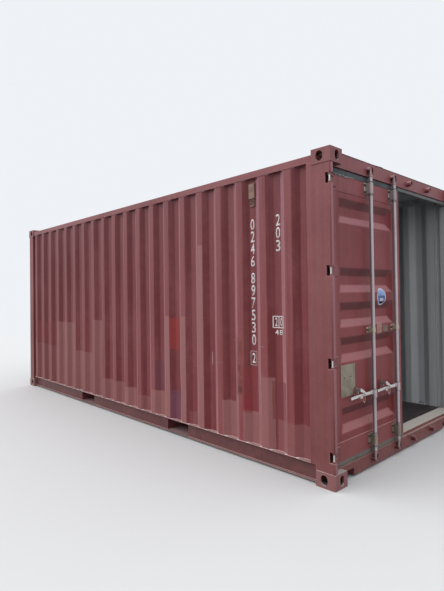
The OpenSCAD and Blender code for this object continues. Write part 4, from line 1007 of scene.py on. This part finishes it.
class CONTAINER_OT_roof(bpy.types.Operator):
    """Press the roof sheet with its cross ridges, whose ends slope down to flat borders"""
    bl_idname = "container.roof"
    bl_label = "Roof"

    def execute(self, context):
        bends = bend_places(ROOF_RIDGES, ROOF_FLAT, ROOF_SLOPE)
        x = knots(*ROOF_X, bends, ROOF_SLOPE * 0.25, 0.06, 3)
        x = stepped(x, [-CASTING_X, CASTING_X])
        y = knots(-ROOF_Y, ROOF_Y, [-ROOF_PAN_Y, ROOF_PAN_Y, ROOF_END - ROOF_PAN_Y,
                                    ROOF_PAN_Y - ROOF_END], 0.006, 0.05, 3)
        wide = np.where(np.abs(x) > CASTING_X, CASTING_Y, ROOF_Y) / ROOF_Y
        y = y[None, :] * wide[:, None]
        x = np.broadcast_to(x[:, None], y.shape)
        across = rise(x, ROOF_RIDGES, ROOF_FLAT, ROOF_SLOPE)
        ends = rounded((ROOF_PAN_Y - np.abs(y)) / ROOF_END, 0.15)
        sag = unevenness(x, y, -ROOF_Y, ROOF_Y, 33, ROOF_DENTS)
        z = ROOF_Z + ROOF_DEPTH * np.minimum(across, ends) - np.abs(sag) * 1.5
        outer, inner = (np.stack([x, y, z - deeper], -1)
                        for deeper in (0, context.scene.container_sizes.sheet))
        pressed("roof_sheet", outer, inner, "roof_paint", "container", "roof_panel")
        return {"FINISHED"}


class CONTAINER_OT_door_panels(bpy.types.Operator):
    """Press the door panels with their five pans and two wide flats"""
    bl_idname = "container.door_panels"
    bl_label = "Door panels"

    def execute(self, context):
        sizes = context.scene.container_sizes
        bends = bend_places(PAN_MIDDLES, PAN_HEIGHT - 2 * PAN_SLOPE, PAN_SLOPE)
        z = knots(*PANEL_Z, bends, PAN_SLOPE * sizes.rounding, 0.012)
        b = knots(*PANEL_B, [PAN_B[0], PAN_B[0] + PAN_SLOPE, PAN_B[1] - PAN_SLOPE, PAN_B[1]],
                  PAN_SLOPE * sizes.rounding, 0.012)
        b, z = np.meshgrid(b, z, indexing="ij")
        for side in SIDES:
            depth = door_depth(side, b, z)
            pressed(f"{side}_door_sheet", door_point(side, depth, b, z),
                    door_point(side, depth + sizes.sheet, b, z), "door_paint", f"{side}_door",
                    f"{side}_door_panel")
        return {"FINISHED"}


class CONTAINER_OT_frame(bpy.types.Operator):
    """Finish the rails, posts, floor and door frames that stay as the frame has them"""
    bl_idname = "container.frame"
    bl_label = "Frame"

    def execute(self, context):
        finishes = {
            "frame_paint": (0.0022, True, ["bottom_side_rail_left", "bottom_side_rail_right",
                                           "top_side_rail_left", "top_side_rail_right",
                                           "front_corner_posts", "rear_corner_posts",
                                           "rear_post_channels", "front_top_rail",
                                           "front_bottom_rail", "door_header", "door_sill"]),
            "underframe_paint": (0.0012, False, ["floor_cross_members", "fork_pockets"]),
            "leaf_paint": (0.0016, True, ["left_door_frame"]),
            "open_leaf_paint": (0.0016, True, ["right_door_frame"]),
            "gasket_rubber": (0.002, False, ["left_door_seal", "right_door_seal"]),
        }
        for finish, (width, worn, names) in finishes.items():
            for name in names:
                obj = NODES[name]
                obj.data.materials.clear()
                for material in (finish, "worn_edge_and_highlight") if worn else (finish,):
                    obj.data.materials.append(MATERIALS[material])
                obj.modifiers.new("weld", "WELD").merge_threshold = 1e-5
                round_edges(obj, width, worn)
        return {"FINISHED"}


class CONTAINER_OT_hardware(bpy.types.Operator):
    """Finish castings, hinges, bars, cams, guides, handles and rings with smooth rounded faces"""
    bl_idname = "container.hardware"
    bl_label = "Hardware"

    def execute(self, context):
        worn = ("frame_paint", "worn_edge_and_highlight")
        finishes = [
            (("casting_paint", "worn_edge_and_highlight"), 0.004, "casting_paint",
             ["bottom_corner_castings", "top_corner_castings"]),
            (worn, 0.0010, "container_red", ["header_cam_keepers", "sill_cam_keepers",
                                             "hinge_lugs", "left_door_hinge_blades",
                                             "right_door_hinge_blades"]),
            (("pin_steel",), 0.0006, "hinge_pin_steel", ["hinge_pins"]),
            (("vent_plastic",), 0.0012, "vent_beige", ["side_wall_vents"]),
            (("zinc",), 0.0, "galvanised", ["lashing_rings"]),
        ]
        for side in SIDES:
            finishes += [(("guide_zinc",), 0.001, "galvanised", [f"{side}_door_bar_guides"]),
                         (("retainer_zinc",), 0.0008, "galvanised", [f"{side}_handle_retainers"])]
            for bar in BARS:
                finishes += [(("zinc",), 0.0008, "galvanised", [f"{side}_{bar}_lock_bar"]),
                             (("bright_zinc",), 0.001, "galvanised",
                              [f"{side}_{bar}_handle", f"{side}_{bar}_catch"])]
        for names, width, slot, nodes in finishes:
            for node in nodes:
                merged_copy(node, names, width)
        return {"FINISHED"}


def hex_bolt(centre, axis, across):
    """Bolt: a washer, then a head with six sides and a chamfered top."""
    r = across / math.sqrt(3)
    washer = turned([(0, 0), (r * 1.25, 0), (r * 1.25, 0.0012), (r * 1.1, 0.0018), (0, 0.0018)],
                    16, centre, axis)
    head = turned([(0, 0.001), (r, 0.001), (r, 0.0075), (r * 0.86, 0.009), (0, 0.009)],
                  6, centre, axis, start=0.3)
    return [washer, head]


class CONTAINER_OT_bolts(bpy.types.Operator):
    """Set the bolts that hold the bars' guides"""
    bl_idname = "container.bolts"
    bl_label = "Bolts"

    def execute(self, context):
        across = context.scene.container_sizes.bolt
        middle_guide = GUIDES[1][0]
        for side in SIDES:
            parts = []
            for b in BARS.values():
                for z, half in GUIDES:
                    on_panel = z == middle_guide and b + GUIDE_B <= PANEL_B[1]
                    foot = PANEL_A if on_panel else LEAF_A
                    rows = (0,) if z == middle_guide else (-1, 1)
                    for sb in (-1, 1):
                        for sz in rows:
                            centre = door_point(side, foot - GUIDE_PLATE, b + sb * BOLT_B,
                                                z + sz * (half - BOLT_END))
                            parts += hex_bolt(centre, OUTWARDS[side], across)
            build(f"{side}_guide_bolts", parts, "rusty_bolt", f"{side}_door",
                  sharp=30)
        return {"FINISHED"}


class CONTAINER_OT_floor(bpy.types.Operator):
    """Lay the floor of plywood boards, with gaps, worn tops and screws"""
    bl_idname = "container.floor"
    bl_label = "Floor"

    def execute(self, context):
        top, under, gap, half = 0.165, 0.137, 0.0008, 1.165
        joints = np.array([-2.969, -1.760, -0.590, 0.580, 1.750, 2.829])

        def places(lo, hi):
            """Two close lines at each rim and 24 between them."""
            return np.concatenate([[lo, lo + 0.003], np.linspace(lo + 0.03, hi - 0.03, 24),
                                   [hi - 0.003, hi]])
        boards, screws = [], []
        for i, (x0, x1) in enumerate(zip(joints[:-1] + gap, joints[1:] - gap)):
            for y0, y1 in ((-half, -gap), (gap, half)):
                x, y = np.meshgrid(places(x0, x1), places(y0, y1), indexing="ij")
                rim = np.minimum(np.minimum(x - x0, x1 - x), np.minimum(y - y0, y1 - y))
                worn = unevenness(x, y, -9, 9, 80 + i) * 0.3 - 0.0008
                z = top + np.where(rim < 0.001, -0.003, np.minimum(worn, 0))
                boards.append(slab(np.stack([x, y, z], -1),
                                   np.stack([x, y, np.full_like(z, under)], -1), 0, 0))
        for x in np.linspace(-2.90, 2.78, 20):
            for y in (-1.10, -0.74, -0.38, -0.06, 0.06, 0.38, 0.74, 1.10):
                screws.append(turned([(0, -0.003), (0.0065, -0.003), (0.0065, 0.0001),
                                      (0.0050, 0.0006), (0.0022, 0.0003), (0, 0.0003)], 10,
                                     (x, y, top), (0, 0, 1)))
        obj = build("floor_boards", boards, "floor_timber", "container")
        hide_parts("plywood_floor")
        build("floor_screws", screws, "rusty_bolt", "container")
        return {"FINISHED"}


def door_patch(b0, b1, z0, z1, thick, n, oval=False):
    """Thin layer that follows the left door's sheet, and its flat coordinates from -1 to 1.

    For an oval the square is drawn in to a disc: u times the root of 1 - v squared / 2, and v
    times the root of 1 - u squared / 2."""
    u, v = np.meshgrid(np.linspace(-1, 1, n), np.linspace(-1, 1, n), indexing="ij")
    if oval:
        u, v = u * np.sqrt(1 - v * v / 2), v * np.sqrt(1 - u * u / 2)
    b, z = (b0 + b1) / 2 + u * (b1 - b0) / 2, (z0 + z1) / 2 + v * (z1 - z0) / 2
    depth = door_depth("left", b, z)
    outer, inner = (door_point("left", depth - lift, b, z) for lift in (0.0010 + thick, 0.0010))
    return slab(outer, inner, 0, 0), u, v


class CONTAINER_OT_plates(bpy.types.Operator):
    """Fix the bare plate, the oval sticker and the two painted squares to the left door"""
    bl_idname = "container.plates"
    bl_label = "Plates and stickers"

    def execute(self, context):
        plate, _, _ = door_patch(0.200, 0.404, 0.652, 0.906, 0.0016, 14)
        obj = build("door_plate", [plate], "khaki_plate", "left_door", sharp=30)
        round_edges(obj, 0.0006, False)
        rivets = [turned([(0, -0.0005), (0.0045, -0.0005), (0.0045, 0.0008), (0.0032, 0.0020),
                          (0, 0.0025)], 14, door_point("left", PANEL_A - 0.0022, b, z),
                         OUTWARDS["left"]) for b in (0.209, 0.395) for z in (0.661, 0.897)]
        holes = [turned([(0, -0.0004), (0.0060, -0.0004), (0.0060, 0.0002), (0.0054, 0.0004),
                         (0, 0.0002)], 16,
                        door_point("left", door_depth("left", b, z) - 0.0026, b, z),
                        OUTWARDS["left"]) for b, z in ((0.254, 0.803), (0.342, 0.802))]
        build("plate_rivets", rivets, "khaki_plate", "left_door")
        build("plate_holes", holes, "dark_hole", "left_door")
        sticker, u, v = door_patch(0.789, 0.940, 1.364, 1.516, 0.0003, 45, True)
        u, v = ((g[:-1, :-1] + g[1:, 1:]).ravel() / 2 for g in (u, v))
        tone = np.where(v > 0.12, 1, 2)
        tone[(v < -0.18) & (v > -0.52) & (np.abs(u) < 0.42)] = 0
        tone[v < -0.58] = 3
        tone[np.hypot(u, v) > 0.84] = 0
        sticker[2][:len(tone)] = tone
        build("door_sticker", [sticker], "sticker_white sticker_sky sticker_blue dark_hole",
              "left_door")
        for name, *limits, n in (("beige", 0.776, 0.860, 1.117, 1.219, 24),
                                 ("green", 0.880, 0.969, 1.128, 1.187, 20)):
            square, _, _ = door_patch(*limits, 0.0003, n)
            build(f"{name}_square", [square], f"{name}_patch", "left_door")
        return {"FINISHED"}


def ragged_line(rng, count, width):
    """Random steps, evened out over a few neighbours."""
    return np.convolve(rng.normal(size=count + width - 1), np.ones(width) / width, "valid")


class CONTAINER_OT_trim(bpy.types.Operator):
    """Lay a dark strip of painted shade on the header's top edge, and the torn edge under the top
    gasket
    """
    bl_idname = "container.trim"
    # The dark strip on the header's edge is painted shade
    bl_label = "Header shade strip and torn gasket"

    def execute(self, context):
        # A dark strip stands for the shade along the header's top edge. Along it b runs on to the
        # right post. Its foot hangs lower about b = 0.38, and its top swells up from 0.70 to 0.90.
        b = np.linspace(0.164, 2.274, 240)
        rng = np.random.default_rng(90)
        rough = ragged_line(rng, len(b), 5)
        down = 0.0030 + 0.0007 * rough + 0.0022 * np.exp(-((b - 0.38) / 0.2) ** 4)
        up = 0.0016 + 0.0004 * np.abs(rough)
        up = up + 0.0045 * np.clip((b - 0.70) / 0.16, 0, 1) ** 2 * (b < 0.90)
        a = np.array([0.0546, 0.0550, 0.076, 0.076, 0.0562, 0.0562])
        high = np.stack([-down, up, up, 0 * b - 0.001, 0 * b - 0.001, -down], 1)
        rings = np.stack([np.broadcast_to(HALF_L - a, high.shape),
                          np.broadcast_to(b[:, None] - HALF_W, high.shape), 2.586 + high], -1)
        build("header_shade_strip", [capped(rings)], "dark_strip", "container", sharp=50)
        # The torn edge hangs down by up to 18 mm and dies out towards b = 0.44
        b = np.linspace(0.135, 0.440, 110)
        torn = np.abs(ragged_line(rng, len(b), 3))
        drop = np.clip(0.002 + 0.011 * torn, 0, 0.018) * np.clip((0.440 - b) / 0.1, 0.1, 1)
        z = np.stack([0 * b + 2.4200, 2.4180 - drop * 0.5, 2.4180 - drop], 1)
        b = np.broadcast_to(b[:, None], z.shape)
        front = 0.0655 + 0.0008 * np.sin(b * 90)
        build("torn_gasket", [slab(door_point("left", front, b, z),
                                   door_point("left", front + 0.0015, b, z), 0, 0)],
              "torn_rubber", "left_door", sharp=50)
        return {"FINISHED"}


class CONTAINER_OT_seals(bpy.types.Operator):
    """Hang a wire seal from each handle's catch"""
    bl_idname = "container.seals"
    bl_label = "Seals"

    def execute(self, context):
        wire = context.scene.container_sizes.seal_wire / 2
        turn = np.linspace(0, 2 * np.pi, 41)[:-1]
        for side in SIDES:
            for bar, b in BARS.items():
                b0, z0 = b - STUD_B + EYE_B, STUD_Z - EYE_Z
                # A loop 80 mm long and 36 mm wide, a little wider in its upper half
                across = 0.018 * np.sin(turn) * (1 + 0.12 * np.cos(turn))
                down = -0.040 * (1 - np.cos(turn))
                path = door_point(side, 0.0115 + 0.004 * np.sin(turn) ** 2, b0 + across, z0 + down)
                build(f"{side}_{bar}_seal_loop", [wire_loop(path, wire)], "bright_zinc",
                      f"{side}_{bar}_catch")
        return {"FINISHED"}


def sheet_beads(lo, hi, bends, inset, seed, turn, shift):
    """Beads along the foot and the top of a corrugated sheet, where it stands on the rails. A
    bead's legs point up or down and square to the outer skin. turn and shift carry the places
    along the sheet and into it over to x and y."""
    u = knots(lo, hi, bends, 0.008, 0.05)
    depth = inset(u)
    out = unit(np.stack([np.gradient(depth, u), -np.ones_like(u)], 1)) @ turn
    line = np.stack([u, depth], 1) @ turn + shift
    return [bead(np.column_stack([line, np.full(len(u), z)]), (0, 0, up),
                 np.column_stack([out, np.zeros(len(u))]), seed + i, 0.8)
            for i, (z, up) in enumerate(zip(WALL_Z, (1, -1)))]


def leaf_beads():
    """Beads on a leaf: depth, b and z of their paths, first leg, seed and gain. They run round
    the panel, over the frame beside it and round the hinge blades."""
    beads = [(PANEL_A, np.linspace(*PANEL_B, 40), z, (0, 0, up), 70, 0.5)
             for z, up in zip(PANEL_Z, (1, -1))]
    beads += [(PANEL_A, b, np.linspace(*PANEL_Z, 80), (0, across, 0), 71, 0.5)
              for b, across in zip(PANEL_B, (1, -1))]
    beads += [(LEAF_A, np.linspace(b0, b1, 8), z, (0, 0, 1), 72, 0.35)
              for b0, b1 in ((LEAF_B[0], PANEL_B[0]), (PANEL_B[1], LEAF_B[1])) for z in PANEL_Z]
    blade = np.linspace(LEAF_B[0], BLADE_END, 8)
    for middle in HINGE_HEIGHTS:
        beads += [(LEAF_A, blade, middle + up * BLADE_HALF, (0, 0, up), 73, 0.9)
                  for up in (-1, 1)]
        edge = np.linspace(middle - BLADE_HALF, middle + BLADE_HALF, 8)
        beads.append((LEAF_A, BLADE_END, edge, (0, 1, 0), 74, 0.9))
    return beads


class CONTAINER_OT_welds(bpy.types.Operator):
    """Lay weld beads where posts meet castings and where the sheets meet posts and rails"""
    bl_idname = "container.welds"
    bl_label = "Welds"

    def execute(self, context):
        parts, pale = [], []
        bends = bend_places(RIDGES, RIDGE_FLAT, RIDGE_SLOPE)
        for sign in (-1, 1):
            outer, valley, out = sign * (HALF_W - 0.003), sign * (HALF_W - 0.044), (0, sign, 0)
            # Over and under the posts' ends, then up the seams of posts and side wall
            for x0, x1 in ((HALF_L - 0.174, HALF_L - 0.016), (-HALF_L + 0.016, -HALF_L + 0.148)):
                for z, up in ((CASTING_H, 1), (HEIGHT - CASTING_H, -1)):
                    parts.append(bead([(x0, outer, z), (x1, outer, z)], (0, 0, up), out,
                                      int(abs(x0) * 100 + z * 10)))
            for x, top, inwards, seed in ((HALF_L - 0.229, 2.494, -1, 5),
                                          (-HALF_L + 0.150, 2.470, 1, 6)):
                parts.append(bead([(x, valley, 0.165), (x, valley, top)], (inwards, 0, 0), out,
                                  seed))
            pale += sheet_beads(-2.850, 2.799, bends, lambda x: wall_depth(x, WALL_Z[0]), 50,
                                np.array([[1, 0], [0, -sign]]), [0, sign * HALF_W])
        pale += sheet_beads(-1.050, 1.050, bend_places(FRONT_RIDGES, FRONT_FLAT, FRONT_SLOPE),
                            front_depth, 60, np.array([[0, 1], [1, 0]]), [-HALF_L, 0])
        build("frame_welds", parts, "frame_paint", "container", sharp=60)
        # Pale weld beads in the paint of worn edges, which also paints a highlight on them
        build("sheet_welds", pale, "worn_edge_and_highlight", "container", sharp=60)
        for side in SIDES:
            seams = [bead(door_point(side, a, b, z), leg, OUTWARDS[side], seed, gain)
                     for a, b, z, leg, seed, gain in leaf_beads()]
            build(f"{side}_panel_welds", seams, "door_paint", f"{side}_door",
                  sharp=60)
        return {"FINISHED"}


# Painted digits: character, x and z of the middle, width, and height where it isn't the usual
DIGITS = [(c, 2.172, 2.0945 - 0.109 * i, 0.048, None) for i, c in enumerate("0246")]
DIGITS += [(c, 2.172, 1.6175 - 0.109 * i, 0.048, None) for i, c in enumerate("897530")]
DIGITS += [("2", 2.168, 0.9125, 0.040, 0.088)]
DIGITS += [(c, 2.470, 2.0995 - 0.109 * i, 0.048, None) for i, c in enumerate("203")]
DIGITS += [("2", 2.437, 1.241, 0.025, 0.072), ("0", 2.493, 1.241, 0.025, 0.072)]
DIGITS += [("4", 2.442, 1.1535, 0.038, 0.045), ("8", 2.490, 1.1535, 0.038, 0.045)]
# Painted frames: x and z limits, and the line's width
FRAMES = [(2.134, 2.203, 0.850, 0.975, 0.0025), (2.405, 2.469, 1.190, 1.292, 0.008),
          (2.461, 2.525, 1.190, 1.292, 0.008)]


def wall_strip(x0, x1, z0, z1, lift=0.0007, thick=0.0004):
    """Thin layer of paint that follows the left wall's outer skin."""
    x = np.linspace(x0, x1, max(2, int((x1 - x0) / 0.004) + 1))
    z = np.linspace(z0, z1, max(2, int((z1 - z0) / 0.012) + 1))
    x, z = np.meshgrid(x, z, indexing="ij")
    y = wall_depth(x, z) - HALF_W
    return slab(np.stack([x, y - lift, z], -1), np.stack([x, y - lift + thick, z], -1), 0, 0)


def painted_digit(character, x, z, width, height):
    """One stencilled digit as a flat mesh, bent onto the left wall, its middle at x and z. A 1
    takes 0.45 of the width."""
    curve = bpy.data.curves.new("digit", "FONT")
    curve.body = character
    curve.resolution_u = 4
    curve.offset = 0.012
    holder = add_object("digit", curve)
    bpy.context.view_layer.update()
    mesh = bpy.data.meshes.new_from_object(holder)
    bpy.data.objects.remove(holder)
    bpy.data.curves.remove(curve)
    co = np.empty(len(mesh.vertices) * 3)
    mesh.vertices.foreach_get("co", co)
    co = co.reshape(-1, 3)
    lo, hi = co.min(0), co.max(0)
    size = np.array([width * (0.45 if character == "1" else 1.0), height])
    u, v = ((co - (lo + hi) / 2)[:, :2] / (hi - lo)[:2] * size).T
    x, z = x + u, z + v
    y = wall_depth(x, z) - HALF_W - 0.0008
    mesh.vertices.foreach_set("co", np.stack([x, y, z], 1).ravel())
    return mesh


class CONTAINER_OT_markings(bpy.types.Operator):
    """Paint two columns of plain digits and a small framed mark on the left wall"""
    bl_idname = "container.markings"
    bl_label = "Markings"

    def execute(self, context):
        height = context.scene.container_sizes.digit_height
        work = bmesh.new()
        for character, x, z, w, h in DIGITS:
            mesh = painted_digit(character, x, z, w, h or height)
            work.from_mesh(mesh)
            bpy.data.meshes.remove(mesh)
        mesh = bpy.data.meshes.new("painted_digits")
        bmesh.ops.remove_doubles(work, verts=work.verts, dist=1e-6)
        bmesh.ops.recalc_face_normals(work, faces=work.faces)
        for face in work.faces:
            if face.normal.y > 0:
                face.normal_flip()
        work.to_mesh(mesh)
        work.free()
        mesh.materials.append(MATERIALS["marking_paint"])
        obj = add_object("painted_digits", mesh)
        thick = obj.modifiers.new("thickness", "SOLIDIFY")
        thick.thickness, thick.offset = 0.0004, -1.0
        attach(obj, "container")
        parts = []
        for x0, x1, z0, z1, line in FRAMES:
            low, high = z0 + line + 0.0001, z1 - line - 0.0001
            parts += [wall_strip(x0, x1, z0, z0 + line), wall_strip(x0, x1, z1 - line, z1),
                      wall_strip(x0, x0 + line, low, high), wall_strip(x1 - line, x1, low, high)]
        build("painted_frames", parts, "marking_paint", "container", sharp=60)
        return {"FINISHED"}


# Strength of the sky at the horizon and overhead, and where the sun stands
SKY_LOW, SKY_HIGH, SUN_FROM = 0.6, 1.75, (-0.55, -0.62, 0.56)
# The photo's camera: place, turns in degrees, focal length and shifts in pixels of its height
EYE, TURNS = (4.99186, -4.11046, 1.48282), (-45.7477, 0.86347, -0.80384)
FOCAL, SHIFTS, LONG_SIDE = 459.161, (-16.16, -8.64), 591


class CONTAINER_OT_stage(bpy.types.Operator):
    """Set the floor, the light and the camera"""
    bl_idname = "container.stage"
    bl_label = "Stage"

    def execute(self, context):
        scene = context.scene
        colour = scene.container_colours.floor
        n, reach, level = 25, 14, -0.0005
        span = np.linspace(-reach, reach, n)
        x, y = np.meshgrid(span, span, indexing="ij")
        mesh = bpy.data.meshes.new("studio_floor")
        co = np.stack([x, y, np.full_like(x, level)], -1).reshape(-1, 3)
        mesh.from_pydata(co.tolist(), [], quads(n, n).tolist())
        mesh.update()
        tree, shader = new_material("studio_floor", colour)
        tone = blend(tree, place(tree).noise(2.0, 3.0) * 0.06, colour, (0.5, 0.5, 0.5))
        bounced = put(tree, "ShaderNodeLightPath")["Is Diffuse Ray"]
        feed(tree, shader, {"Base Color": tone.under(bounced, (0.12, 0.12, 0.12)),
                            "Roughness": 0.9, "Specular IOR Level": 0.1})
        mesh.materials.append(MATERIALS["studio_floor"])
        add_object("studio_floor", mesh)

        world = bpy.data.worlds.new("studio")
        scene.world = world
        world.use_nodes = True
        tree = world.node_tree
        tree.nodes.clear()
        ray = put(tree, "ShaderNodeLightPath")
        seen = (ray["Is Camera Ray"] + ray["Is Glossy Ray"] + ray["Is Transmission Ray"]).clamped()
        high = put(tree, "ShaderNodeTexCoord")["Generated"].parts()[2]
        lamp = put(tree, "ShaderNodeBackground", {
            "Color": (0.95, 0.97, 1.0), "Strength": high.ramp(-0.05, 1.0, SKY_LOW, SKY_HIGH)})
        white = put(tree, "ShaderNodeBackground", {"Color": (0.86, 0.89, 0.93), "Strength": 1.0})
        mixed = put(tree, "ShaderNodeMixShader", {0: seen, 1: lamp, 2: white})
        put(tree, "ShaderNodeOutputWorld", {0: mixed})

        sun = bpy.data.lights.new("soft_sun", "SUN")
        sun.energy, sun.angle, sun.color = 1.1, math.radians(60), (1.0, 0.985, 0.96)
        lamp = add_object("soft_sun", sun)
        lamp.rotation_euler = Vector(SUN_FROM).to_track_quat("Z", "Y").to_euler()

        camera = bpy.data.cameras.new("photo_view")
        camera.lens, camera.sensor_width, camera.sensor_fit = FOCAL / LONG_SIDE * 36, 36, "AUTO"
        camera.shift_x, camera.shift_y = (shift / LONG_SIDE for shift in SHIFTS)
        camera.clip_end = 200
        yaw, pitch, roll = map(math.radians, TURNS)
        ahead = np.array([math.sin(yaw) * math.cos(pitch), math.cos(yaw) * math.cos(pitch),
                          math.sin(pitch)])
        right = unit(np.cross(ahead, [0, 0, 1]))
        up = np.cross(right, ahead)
        c, s = math.cos(roll), math.sin(roll)
        right, up = c * right + s * up, c * up - s * right
        matrix = np.eye(4)
        matrix[:3] = np.stack([right, up, -ahead, EYE], 1)
        view = add_object("photo_view", camera)
        view.matrix_world = Matrix(matrix.tolist())
        scene.camera = view
        scene.view_settings.view_transform = "Standard"
        return {"FINISHED"}


class CONTAINER_PT_panel(bpy.types.Panel):
    """The container's sizes, colours and steps"""
    bl_idname = "CONTAINER_PT_panel"
    bl_label = "Freight container"
    bl_space_type = "VIEW_3D"
    bl_region_type = "UI"
    bl_category = "Container"

    def draw(self, context):
        layout = self.layout
        for group in (context.scene.container_sizes, context.scene.container_colours):
            column = layout.column()
            for name in group.bl_rna.properties.keys():
                if name not in ("rna_type", "name"):
                    column.prop(group, name)
        for operator in STEPS:
            layout.operator(operator.bl_idname)


STEPS = (CONTAINER_OT_finishes, CONTAINER_OT_stage, CONTAINER_OT_side_walls,
         CONTAINER_OT_front_wall, CONTAINER_OT_roof, CONTAINER_OT_door_panels,
         CONTAINER_OT_frame, CONTAINER_OT_floor, CONTAINER_OT_hardware, CONTAINER_OT_bolts,
         CONTAINER_OT_plates, CONTAINER_OT_trim, CONTAINER_OT_seals, CONTAINER_OT_welds,
         CONTAINER_OT_markings)
CLASSES = (ContainerSizes, ContainerColours) + STEPS + (CONTAINER_PT_panel,)


def register():
    for cls in CLASSES:
        bpy.utils.register_class(cls)
    bpy.types.Scene.container_sizes = PointerProperty(type=ContainerSizes)
    bpy.types.Scene.container_colours = PointerProperty(type=ContainerColours)


def unregister():
    del bpy.types.Scene.container_colours
    del bpy.types.Scene.container_sizes
    for cls in reversed(CLASSES):
        bpy.utils.unregister_class(cls)


def main():
    """Registers the add-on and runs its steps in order."""
    register()
    bpy.ops.container.finishes()
    bpy.ops.container.stage()
    bpy.ops.container.side_walls()
    bpy.ops.container.front_wall()
    bpy.ops.container.roof()
    bpy.ops.container.door_panels()
    bpy.ops.container.frame()
    bpy.ops.container.floor()
    bpy.ops.container.hardware()
    bpy.ops.container.bolts()
    bpy.ops.container.plates()
    bpy.ops.container.trim()
    bpy.ops.container.seals()
    bpy.ops.container.welds()
    bpy.ops.container.markings()


if __name__ == "__main__":
    main()
